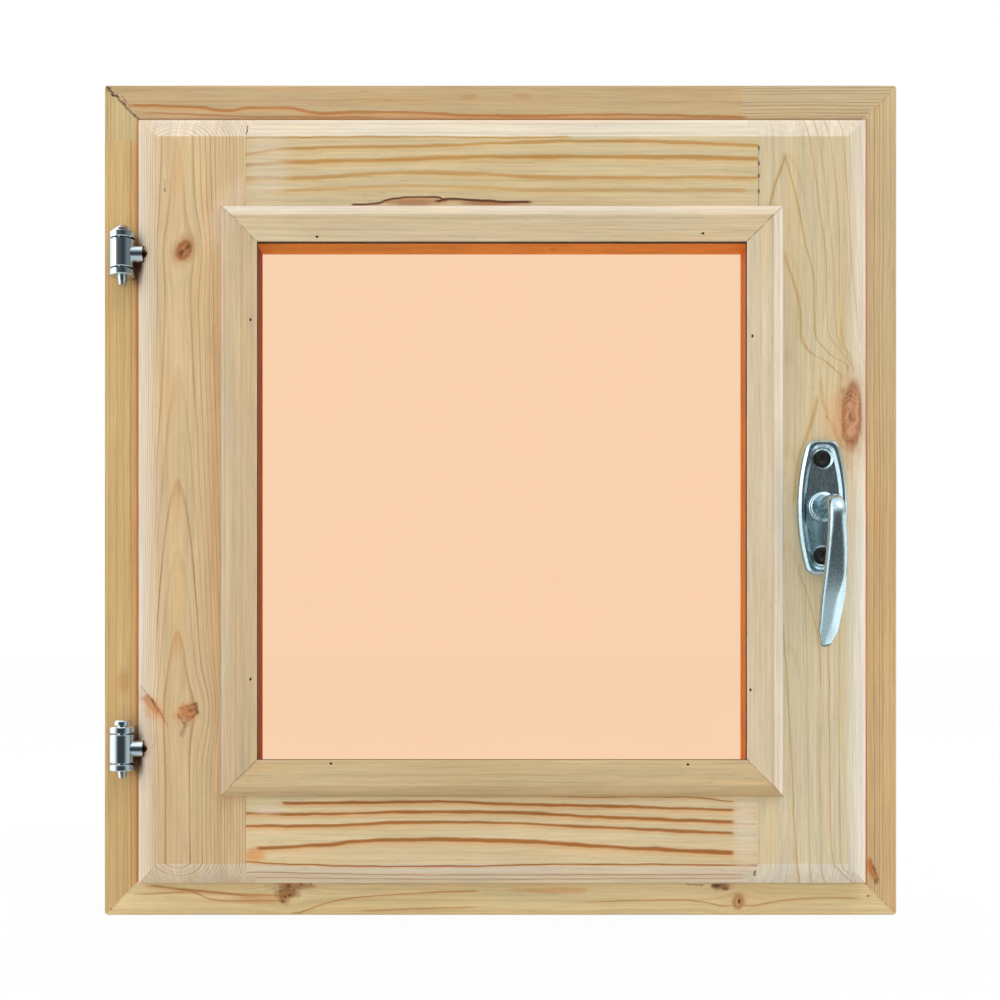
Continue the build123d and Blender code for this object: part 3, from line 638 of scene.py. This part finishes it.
# Painted light: the bottom rail's top side, lit through the tinted pane
bottom_rail.colour_side((2, 1), REVEAL_PAINTED_LIGHT, 0.95)

# Frame's head: one wavy brown line, then a spliced piece with fine straight grain
FRAME_EARLY = srgb(200, 170, 124)
FRAME_LATE = srgb(160, 110, 60)
GREY_TINT = (0.94, 1.03, 1.14, 1.0)
head = Board("pine_head", "X", frame_face, 41.0)
head.rings(
    pith=300.0, depth=[(0, 6.0)], ring=8.0, early=srgb(185, 160, 120), late=FRAME_LATE, warp=1.6,
    contrast=0.3,
    splice=(153.0, 1.9, 0.95, (1.0, 1.11, 1.24, 1.0)),
)
# Painted shade along the top of the sash's lip
head.patch((-10.0, 504.5), 170.0, 3.0, 0.4, srgb(184, 124, 66), ragged=0.5)
head.line(
    [(-231, 513.2), (-189, 511.8), (-172, 509.9), (-159, 511.7), (-136, 511.6), (-111, 508.4), (-78, 508.9),
     (-51, 508.3), (10, 506.5), (71, 507.3), (152, 505.4)],
    1.1, 0.75, srgb(160, 104, 50), glow=ORANGE,
)
head.line([(-215, 508.0), (-150, 506.0), (-90, 505.5)], 0.7, 0.5, srgb(150, 92, 46), glow=ORANGE, fade=20.0)
head.patch((-20.0, 518.5), 5.0, 2.2, 0.4, HEART)
head.patch((14.0, 519.0), 7.0, 2.4, 0.35, HEART)
head.crack((-240.0, 519.0), (-234.5, 512.0), 0.6, 0.6, broken=0.6, colour=KNOT_RIM)
# Painted shade beside the sash's lip
head.beside_sash(0.7, 4.7, srgb(122, 74, 40))

# Frame's sill: pale, with two knots and a pocket of bark
sill = Board("pine_sill", "X", frame_face, 173.0)
sill.bend((-137.0, 12.0), 9.0, 5.0, 0.8)
sill.bend((151.0, 8.6), 6.0, 5.0, 0.8)
sill.rings(
    pith=80.0, depth=[(0, 6.0)], ring=6.5, early=srgb(216, 195, 148), late=srgb(192, 152, 96), warp=2.2,
    contrast=0.4, late_from=0.5,
)
sill.line([(-128, 1.5), (-98.6, 10.2), (-51, 14.0), (-18, 15.3)], 0.55, 0.6, DARK_LINE, glow=LINE_GLOW)
sill.line([(-80, 3.0), (-40, 4.6), (-22, 5.0)], 0.55, 0.45, DARK_LINE, glow=LINE_GLOW, fade=12.0)
sill.line([(-225, 13.5), (-190, 15.0), (-160, 12.0)], 0.55, 0.45, DARK_LINE, glow=LINE_GLOW, fade=12.0)
sill.line([(60, 8.5), (110, 9.5), (140, 6.0)], 0.55, 0.45, DARK_LINE, glow=LINE_GLOW, fade=12.0)
sill.line([(160, 6.0), (190, 10.5), (220, 11.0)], 0.55, 0.45, DARK_LINE, glow=LINE_GLOW, fade=12.0)
sill.patch((34.0, 15.5), 30.0, 2.6, 0.5, ORANGE)
sill.line(
    [(-218, 18.5), (-180, 14.5), (-150, 12.6), (-140, 12.4)], 1.0, 0.55, DARK_LINE, glow=ORANGE, fade=10.0,
)
sill.line([(-200, 16.5), (-168, 9.0), (-142, 9.2)], 0.7, 0.5, DARK_LINE, glow=ORANGE, fade=10.0)
sill.patch((-153.0, 10.5), 20.0, 5.0, 0.4, ORANGE)
sill.patch((-131.0, 18.6), 19.0, 3.2, 0.75, srgb(158, 104, 56), ragged=1.1)
sill.patch((-135.5, 14.5), 9.0, 5.5, 0.85, srgb(150, 96, 50), ragged=1.1)
sill.patch((-137.5, 10.0), 4.6, 4.0, 0.7, srgb(150, 96, 50), ragged=0.8)
for spot_x, spot_z, spot_size in (
    (-138.0, 8.6, 1.9), (-133.4, 12.6, 1.5), (-136.4, 11.6, 1.3), (-131.0, 16.2, 1.2), (-139.5, 15.0, 1.2),
    (-126.5, 19.4, 1.3), (-134.6, 18.8, 1.4), (-120.5, 20.0, 1.1),
):
    sill.patch((spot_x, spot_z), spot_size, spot_size * 0.85, 0.65, BARK, ragged=0.9)
sill.patch((140.0, 18.4), 8.0, 3.2, 0.9, srgb(150, 104, 66), ragged=0.8)
sill.patch((136.5, 18.8), 4.4, 1.6, 0.8, BARK, ragged=0.9)
sill.patch((142.5, 16.6), 2.8, 1.5, 0.6, BARK, ragged=0.9)
sill.patch((151.0, 8.8), 6.5, 7.0, 0.45, ORANGE)
sill.patch((150.8, 8.6), 4.4, 5.4, 0.85, KNOT_RIM, ragged=0.4)
sill.patch((150.8, 8.6), 3.0, 3.8, 1.0, srgb(216, 166, 112), ragged=0.3)
sill.patch((151.2, 8.8), 1.5, 2.4, 0.9, BARK, ragged=0.3)
sill.crack((118.0, 19.2), (128.0, 19.0), 0.5, 0.6, broken=0.3)
sill.patch((233.0, 12.2), 1.0, 0.8, 0.9, CRACK, ragged=0.2)
sill.crack((-246.5, 7.5), (-246.8, 3.5), 0.5, 0.7, colour=KNOT_RIM)
# Painted shade beside the sash's lip
sill.beside_sash(0.35, 2.6, srgb(150, 100, 58))

# Frame's jambs: straight lines, warmer towards the sash with painted shade along its lip
left_jamb = Board("pine_left_jamb", "Z", frame_face, 61.0)
left_jamb.rings(
    pith=-330.0, depth=[(0, 8.0)], ring=2.3, early=srgb(195, 166, 114), late=FRAME_LATE, warp=2.0,
    contrast=1.0,
    late_from=0.45, splice=(490.6, 2.4, 0.7, GREY_TINT), spread=2.2, uneven=1.0,
)
# Painted shade: an orange-brown strip beside the sash's lip
left_jamb.line([(-5, -231.5), (485, -231.5)], 3.0, 0.4, ORANGE)
left_jamb.patch((-239.0, 148.0), 5.0, 10.0, 0.4, HEART)
# Painted shade beside each hinge, on the frame by the barrel
for hinge_z in hinge_heights:
    left_jamb.patch((lip["left"] - 1.0, hinge_z - 3.0), 6.0, 18.0, 1.0, HINGE_SHADE, ragged=0.5)
# Painted shade beside the sash's lip
left_jamb.beside_sash(0.55, 4.4, srgb(146, 88, 44))

right_jamb = Board("pine_right_jamb", "Z", frame_face, 83.0)
right_jamb.rings(
    pith=120.0, depth=[(0, 8.0)], ring=2.2, early=FRAME_EARLY, late=FRAME_LATE, warp=1.4, contrast=1.0,
    late_from=0.45, spread=2.2, uneven=1.0,
)
right_jamb.tint([(250, 0.0), (440, 1.0), (526, 1.0)], GREY_TINT)
# Painted shade beside the sash's lip, orange-brown
right_jamb.beside_sash(0.65, 4.0, srgb(182, 102, 48))
right_jamb.patch((235.0, 29.0), 3.2, 9.0, 0.9, srgb(182, 116, 58), degrees=-24)
right_jamb.crack((234.0, 36.0), (239.5, 23.0), 0.7, 0.7, broken=0.5, colour=KNOT_RIM)
right_jamb.patch((238.0, 21.5), 2.0, 2.4, 0.7, KNOT_RIM)

boards = {
    "sash_left_stile": left_stile,
    "sash_right_stile": right_stile,
    "sash_top_rail": top_rail,
    "sash_bottom_rail": bottom_rail,
    "frame_head": head,
    "frame_sill": sill,
    "frame_left_jamb": left_jamb,
    "frame_right_jamb": right_jamb,
}

# Glazing beads: paler, fine-grained strips, their upper and side slopes partly a painted highlight, dark
# where they meet the glass
for side, grain, inside, pith, seed, early, pale in (
    ("left", "Z", (0, 1), -260.0, 11.0, srgb(190, 167, 133), (0.0, 0.0, 0.0, 0.15)),
    ("right", "Z", (0, -1), 300.0, 29.0, srgb(198, 180, 146), (0.0, 0.0, 0.0, 0.65)),
    ("bottom", "X", (2, 1), -60.0, 47.0, srgb(190, 167, 127), (0.0, 0.0, 0.0)),
    ("top", "X", (2, -1), 560.0, 71.0, srgb(196, 178, 145), (0.6, 0.0, 0.0)),
):
    bead = Board(f"pine_bead_{side}", grain, sash_face, seed)
    bead.rings(
        pith=pith, depth=[(0, 12.0)], ring=3.6, early=early, late=srgb(180, 146, 100), warp=1.0,
        contrast=0.45, pale=pale,
    )
    # Faces towards the glass darkened
    bead.colour_side(inside, CRACK, 0.92)
    boards[f"glazing_bead_{side}"] = bead

# Mitres: a broken dark hairline down each corner of the frame and of the beads
for names, outer, inner, strength in (
    (("frame_left_jamb", "frame_right_jamb", "frame_sill", "frame_head"), frame_edge, lip, 0.3),
    ([f"glazing_bead_{side}" for side in ("left", "right", "bottom", "top")], bead_outer, bead_inner, 0.6),
):
    for across_side, upright in (("left", names[0]), ("right", names[1])):
        for along_side, level in (("bottom", names[2]), ("top", names[3])):
            corner = (outer[across_side], outer[along_side])
            end = (inner[across_side], inner[along_side])
            for name in (upright, level):
                boards[name].crack(corner, end, 0.5, strength, broken=0.9, colour=MITRE)

# Open mitre at the frame's upper left corner
for name in ("frame_head", "frame_left_jamb"):
    boards[name].crack((-249.5, 524.5), (-238.5, 513.5), 1.0, 0.95, broken=0.5)
    boards[name].crack((-238.5, 513.5), (-228.0, 503.0), 0.6, 0.85, broken=0.4)

for node, board in boards.items():
    paint(node, board.finish())


def metal(name, colour, roughness, streak, stretch, dark_past=None, dim=0.0):
    """Plated metal with fine streaks. stretch is how long the streaks are along Z, in millimetres.

    Right of dark_past it lies in its hole, painted dark there as shade. dim is how much darker its right half
    is painted, as a painted dark reflection."""
    material, shader = new_material(name)
    tree = material.node_tree
    x, y, z = coordinates(tree)
    grains = noise(x / 0.4, y / 0.4, z / stretch, 3.0)
    cloud = noise(x / 9, y / 9, z / 9, 2.0)
    clouded = mixed(cloud + 0.5, colour, scaled(colour, 0.86))
    shade = brightened(clouded, grains * streak + 1.0)
    if dark_past is not None:
        facing = parts(tree, tree.nodes.new("ShaderNodeNewGeometry").outputs["Normal"])
        dimmed = facing[0].smooth(-0.45, 0.0) * facing[0].smooth(0.78, 0.93).flipped()
        dimmed = dimmed * facing[2].math("ABSOLUTE").smooth(0.15, 0.5).flipped()
        shade = mixed(dimmed * dim, shade, ZINC_DARK_REFLECTION)
        shade = mixed(x.smooth(dark_past - 0.3, dark_past + 0.1), shade, HINGE_SHADE)
    tree.links.new(shade, shader.inputs["Base Color"])
    rough = grains * (streak * 0.6) + cloud * 0.06 + roughness
    tree.links.new(rough.socket, shader.inputs["Roughness"])
    shader.inputs["Metallic"].default_value = 1.0
    bumped(shader, grains, 0.05, 0.25)
    return material


# Hinge zinc: painted shade where the shank sinks into the sash, and a painted dark reflection on the right
# half of the barrels
zinc = metal("bright_zinc", srgb(206, 220, 228), 0.1, 0.25, 4.0, dark_past=lip["left"] + 4.3, dim=0.75)
chrome = metal("satin_chrome", srgb(178, 204, 213), 0.2, 0.9, 2.5)
for place in ("upper", "lower"):
    for piece in ("fork", "barrel", "pin"):
        paint(f"{place}_hinge_{piece}", zinc)
paint("handle_plate", chrome)


def mesh_piece(name, vertices, faces, material, body):
    """A new piece of the window, from vertices in millimetres, that rides on a body."""
    mesh = bpy.data.meshes.new(name)
    mesh.from_pydata([tuple(c * MM for c in v) for v in vertices], [], faces)
    mesh.polygons.foreach_set("use_smooth", [True] * len(mesh.polygons))
    mesh.materials.append(material)
    piece = bpy.data.objects.new(name, mesh)
    bpy.context.collection.objects.link(piece)
    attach(piece, body)
    return piece


def ring_faces(rings, points):
    """Faces of a skin over rings of points, closed at both ends."""
    faces = []
    for ring in range(rings - 1):
        for point in range(points):
            following = (point + 1) % points
            low, high = ring * points, (ring + 1) * points
            faces.append((low + point, low + following, high + following, high + point))
    faces.append(tuple(reversed(range(points))))
    faces.append(tuple(range((rings - 1) * points, rings * points)))
    return faces


# Lever: a turned hub and cone on the plate, a neck, a bend and a leaf-shaped grip with a crowned front
LEVER_POINTS = 48
HUB_PROFILE = [
    (0.0, 8.9), (0.3, 9.3), (1.6, 9.3), (2.2, 9.1), (2.5, 8.4), (2.7, 7.7), (3.4, 7.3),
    (6.0, 6.5), (9.5, 5.8),
]
HUB_CLEARANCE = 0.3
hub_seat = plate_face - HUB_CLEARANCE
CONE_END, CONE_RADIUS = HUB_PROFILE[-1]
NECK_STEPS = 4
NECK_END = 25.4
NECK_HALF = 5.3
NECK_SQUARENESS = 2.3
BEND_STEPS = 12
BEND_RADIUS = 9.0
GRIP_RADIUS = 140.0
GRIP_SWEEP = 33.0
GRIP_STEPS = 40
TIP_SHIFT = -1.2
TIP_SHIFT_FROM = 0.45


def eased(value, stops):
    """Smooth value of a list of (place, size) stops."""
    for (start, first), (end, last) in zip(stops, stops[1:]):
        if value <= end:
            share = (value - start) / (end - start)
            return first + (last - first) * share * share * (3 - 2 * share)
    return stops[-1][1]


GRIP_WIDTH = [(0.0, 10.6), (0.6, 14.2), (0.86, 12.0), (1.0, 6.0)]
GRIP_DEPTH = [(0.0, 8.4), (0.5, 8.0), (1.0, 4.6)]
GRIP_SQUARENESS = [(0.0, 2.3), (0.25, 3.4), (1.0, 3.4)]
GRIP_RIDGE = [(0.0, 7.2), (0.35, 5.6), (0.7, 0.6), (1.0, -2.4)]
FACET_FALL = 0.8


def lever_ring(centre_y, centre_z, outward, half_width, half_depth, squareness, shift=0.0, ridge=None):
    """One section of the lever: a squared ellipse across its path. outward points to its front.

    Right of its ridge the front falls away in a facet."""
    ring = []
    for step in range(LEVER_POINTS):
        angle = 2 * math.pi * step / LEVER_POINTS
        cosine, sine = math.cos(angle), math.sin(angle)
        wide = math.copysign(abs(cosine) ** (2 / squareness), cosine) * half_width
        deep = math.copysign(abs(sine) ** (2 / squareness), sine) * half_depth
        if ridge is not None and deep > 0:
            deep *= 1 - FACET_FALL * min(1.0, max(0.0, wide - ridge) / (half_width - ridge))
        point_y = centre_y + outward[0] * deep
        point_z = handle_z + centre_z + outward[1] * deep
        ring.append((handle_x + wide + shift, point_y, point_z))
    return ring


lever_rings = []
for rise, radius in HUB_PROFILE:
    lever_rings.append(lever_ring(hub_seat - rise, 0.0, (0, 1), radius, radius, 2.0))
for step in range(1, NECK_STEPS + 1):
    share = step / NECK_STEPS
    rise = CONE_END + (NECK_END - CONE_END) * share
    half = CONE_RADIUS + (NECK_HALF - CONE_RADIUS) * share
    square = 2.0 + (NECK_SQUARENESS - 2.0) * share
    lever_rings.append(lever_ring(hub_seat - rise, 0.0, (0, 1), half, half, square))
bend_y = hub_seat - NECK_END
for step in range(1, BEND_STEPS + 1):
    angle = math.radians(90 * step / BEND_STEPS)
    outward = (-math.sin(angle), math.cos(angle))
    centre = (bend_y - BEND_RADIUS * math.sin(angle), BEND_RADIUS * (math.cos(angle) - 1))
    half_depth = NECK_HALF + (GRIP_DEPTH[0][1] / 2 - NECK_HALF) * step / BEND_STEPS
    lever_rings.append(lever_ring(*centre, outward, NECK_HALF, half_depth, NECK_SQUARENESS))
for step in range(1, GRIP_STEPS + 1):
    share = step / GRIP_STEPS
    angle = math.radians(GRIP_SWEEP * share)
    outward = (-math.cos(angle), -math.sin(angle))
    grip_y = bend_y - BEND_RADIUS + GRIP_RADIUS * (1 - math.cos(angle))
    centre = (grip_y, -BEND_RADIUS - GRIP_RADIUS * math.sin(angle))
    half_width = eased(share, GRIP_WIDTH) / 2
    half_depth = eased(share, GRIP_DEPTH) / 2
    shift = TIP_SHIFT * max(0.0, share - TIP_SHIFT_FROM) / (1 - TIP_SHIFT_FROM)
    square, ridge = eased(share, GRIP_SQUARENESS), eased(share, GRIP_RIDGE)
    lever_rings.append(lever_ring(*centre, outward, half_width, half_depth, square, shift, ridge))
lever = mesh_piece(
    "lever_satin",
    [point for ring in lever_rings for point in ring],
    ring_faces(len(lever_rings), LEVER_POINTS),
    chrome,
    "handle",
)
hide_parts("handle_lever")


def turned_piece(name, profile, centre, material, body, points=32):
    """A round piece turned about a line along Y. profile is (rise to the front, radius)."""
    rings = []
    for rise, radius in profile:
        for step in range(points):
            angle = 2 * math.pi * step / points
            across, up = radius * math.cos(angle), radius * math.sin(angle)
            rings.append((centre[0] + across, centre[1] - rise, centre[2] + up))
    return mesh_piece(name, rings, ring_faces(len(profile), points), material, body)


def dark_steel(name, colour):
    """Blackened steel with a mottled finish."""
    material, shader = new_material(name)
    x, y, z = coordinates(material.node_tree)
    mottle = noise(x / 1.2, y / 1.2, z / 1.2, 3.0)
    shade = mixed(mottle + 0.5, colour, scaled(colour, 2.6))
    material.node_tree.links.new(shade, shader.inputs["Base Color"])
    shader.inputs["Metallic"].default_value = 0.6
    shader.inputs["Roughness"].default_value = 0.5
    return material


# Two black countersunk screws in the plate, each with a recess in its head
black_steel = dark_steel("black_screw", srgb(22, 22, 22))
SCREW_SPACING = 60.0
SCREW_PROFILE = [(-3.5, 2.2), (-3.3, 2.4), (-1.35, 4.8), (-1.1, 5.1), (-0.8, 5.0), (-0.6, 2.6), (-2.0, 1.4)]
for place, side in (("upper", 1), ("lower", -1)):
    screw_centre = (handle_x, plate_face, handle_z + side * SCREW_SPACING / 2)
    turned_piece(f"{place}_plate_screw", SCREW_PROFILE, screw_centre, black_steel, "window")

# Brads that hold the beads, driven just below the wood
brad_steel = dark_steel("brad_steel", srgb(30, 22, 16))
BRAD_RADIUS = 0.95
BRADS = [
    ("top_1", -113.6, 423.6), ("top_2", 124.8, 425.6),
    ("left_1", -154.9, 372.0), ("left_2", -154.9, 150.0),
    ("right_1", 155.7, 362.0), ("right_2", 154.5, 143.4),
    ("bottom_1", -105.0, 97.6), ("bottom_2", 115.6, 97.0),
]
BEAD_INNER_HEIGHT = 4.8
BEAD_CREST_HEIGHT = 7.5
BEAD_FACE_WIDTH = 15.5
BEAD_SLANT = (BEAD_CREST_HEIGHT - BEAD_INNER_HEIGHT) / BEAD_FACE_WIDTH
BRAD_SHAPE = [(-1.5, 1.0), (0.02, 1.0), (0.06, 0.7)]
for name, brad_x, brad_z in BRADS:
    inset = {
        "left": bead_inner["left"] - brad_x,
        "right": brad_x - bead_inner["right"],
        "top": brad_z - bead_inner["top"],
        "bottom": bead_inner["bottom"] - brad_z,
    }[name.split("_")[0]]
    surface = sash_face - BEAD_INNER_HEIGHT - BEAD_SLANT * inset
    profile = [(rise, BRAD_RADIUS * share) for rise, share in BRAD_SHAPE]
    turned_piece(f"brad_{name}", profile, (brad_x, surface, brad_z), brad_steel, "window", 12)


def tinted_glass():
    """Flat bronze-tinted glass: clear and coloured, with a faint mirror on its surfaces."""
    material, shader = new_material("tinted_glass")
    tree = material.node_tree
    tree.nodes.remove(shader)
    clear = tree.nodes.new("ShaderNodeBsdfTransparent")
    mirror = tree.nodes.new("ShaderNodeBsdfGlossy")
    mirror.inputs["Roughness"].default_value = 0.02
    join = tree.nodes.new("ShaderNodeMixShader")
    edge = tree.nodes.new("ShaderNodeFresnel")
    edge.inputs["IOR"].default_value = 1.15
    x, y, z = coordinates(tree)
    haze = noise(x / 60, y / 60, z / 60, 1.0) * 0.5 + 0.5
    tree.links.new(mixed(haze, PANE_TINT, PANE_TINT_DEEP), clear.inputs["Color"])
    tree.links.new(edge.outputs[0], join.inputs[0])
    tree.links.new(clear.outputs[0], join.inputs[1])
    tree.links.new(mirror.outputs[0], join.inputs[2])
    tree.links.new(join.outputs[0], tree.nodes["Material Output"].inputs["Surface"])
    return material


# Each ray crosses two faces of the pane, so each face takes the square root of the tint
PANE_TINT = tuple(math.sqrt(c) for c in srgb(251, 211, 176))
PANE_TINT_DEEP = tuple(math.sqrt(c) for c in srgb(250, 209, 174))
paint("glass_pane", tinted_glass())

# Camera straight at the window from just below its middle, framed as the photograph is
CAMERA_PLACE = (-6.7, -885.0, 168.0)
camera_data = bpy.data.cameras.new("camera")
camera_data.sensor_width = 36.0
camera_data.lens = 48.29
camera_data.shift_x = 0.010
camera_data.shift_y = 0.150
camera = bpy.data.objects.new("camera", camera_data)
camera.location = [c * MM for c in CAMERA_PLACE]
camera.rotation_euler = (math.radians(90), 0.0, 0.0)
bpy.context.collection.objects.link(camera)
bpy.context.scene.camera = camera

# White floor, lit as paper for the window but shown near white, with a faint shadow under the sill
FLOOR_HALF = 40.0
floor_mesh = bpy.data.meshes.new("floor")
floor_corners = [(-1, -1), (1, -1), (1, 1), (-1, 1)]
floor_mesh.from_pydata([(i * FLOOR_HALF, j * FLOOR_HALF, 0.0) for i, j in floor_corners], [], [(0, 1, 2, 3)])
floor = bpy.data.objects.new("floor", floor_mesh)
bpy.context.collection.objects.link(floor)
floor_material, floor_shader = new_material("floor_white")
floor_tree = floor_material.node_tree
floor_shader.inputs["Base Color"].default_value = (0.8, 0.8, 0.8, 1.0)
floor_shader.inputs["Roughness"].default_value = 0.9
floor_shader.inputs["Specular IOR Level"].default_value = 0.0
floor_glow = floor_tree.nodes.new("ShaderNodeEmission")
floor_glow.inputs["Strength"].default_value = 1.0
floor_path = floor_tree.nodes.new("ShaderNodeLightPath")
floor_share = Field(floor_tree, floor_path.outputs["Is Camera Ray"]) * 0.93
floor_mix = floor_tree.nodes.new("ShaderNodeMixShader")
floor_tree.links.new(floor_share.socket, floor_mix.inputs[0])
floor_tree.links.new(floor_shader.outputs[0], floor_mix.inputs[1])
floor_tree.links.new(floor_glow.outputs[0], floor_mix.inputs[2])
floor_tree.links.new(floor_mix.outputs[0], floor_tree.nodes["Material Output"].inputs["Surface"])
floor_mesh.materials.append(floor_material)
floor.visible_glossy = False


def area_light(name, place, aim, size, power):
    """A soft square lamp that points at a place, both in metres."""
    data = bpy.data.lights.new(name, "AREA")
    data.size = size
    data.energy = power
    lamp = bpy.data.objects.new(name, data)
    lamp.location = place
    lamp.rotation_euler = (Vector(aim) - Vector(place)).to_track_quat("-Z", "Y").to_euler()
    bpy.context.collection.objects.link(lamp)
    return lamp


area_light("key", (1.9, -2.2, 4.2), (0, 0, 0.26), 2.2, 62)
area_light("left_fill", (-3.4, -1.6, 1.6), (0, 0, 0.26), 1.8, 22)
front_fill = area_light("front_fill", (0.2, -4.2, 0.3), (0, 0, 0.2), 3.0, 33)
front_fill.data.color = (0.96, 1.0, 1.06)
front_fill.visible_glossy = False
low_fill = area_light("low_fill", (0.0, -1.7, 0.12), (0, 0, 0.1), 0.9, 5)
low_fill.visible_glossy = False

# Studio round the window: bright above, behind and at the sides, dim behind the camera, white to the camera
world = bpy.data.worlds.new("studio")
bpy.context.scene.world = world
world.use_nodes = True
sky_tree = world.node_tree
sky = sky_tree.nodes["Background"]
towards = sky_tree.nodes.new("ShaderNodeTexCoord")
towards_split = sky_tree.nodes.new("ShaderNodeSeparateXYZ")
sky_tree.links.new(towards.outputs["Generated"], towards_split.inputs[0])
to_right, to_back, to_top = [Field(sky_tree, socket) for socket in towards_split.outputs]
above = to_top.smooth(0.05, 0.85) * 0.6
beside = to_right.math("ABSOLUTE").smooth(0.35, 0.9) * 0.6
behind = to_back.smooth(0.0, 0.5) * 0.7
soft = above + beside + behind + 0.16
high = to_top.smooth(0.05, 0.3)
left_panel = (to_right * -1).smooth(0.4, 1.0) * (high * -0.35 + 1.5)
right_panel = to_right.smooth(0.45, 0.9) * (high * -0.95 + 1.4)
left_haze = (to_right * -1).smooth(-0.25, 0.3) * high * 0.16
overhead = to_top.smooth(0.3, 0.7) * 1.1
below = (to_top * -1).smooth(0.3, 0.7) * 0.6
shiny = left_panel + right_panel + left_haze + overhead + below + 0.15
rays = sky_tree.nodes.new("ShaderNodeLightPath")
seen = Field(sky_tree, rays.outputs["Is Camera Ray"])
mirrored = Field(sky_tree, rays.outputs["Is Glossy Ray"])
studio = soft * mirrored.flipped() + shiny * mirrored
glow = studio * seen.flipped() + seen
sky_tree.links.new(glow.socket, sky.inputs["Strength"])
sky.inputs["Color"].default_value = (1.0, 1.0, 1.0, 1.0)
bpy.context.scene.view_settings.view_transform = "Standard"
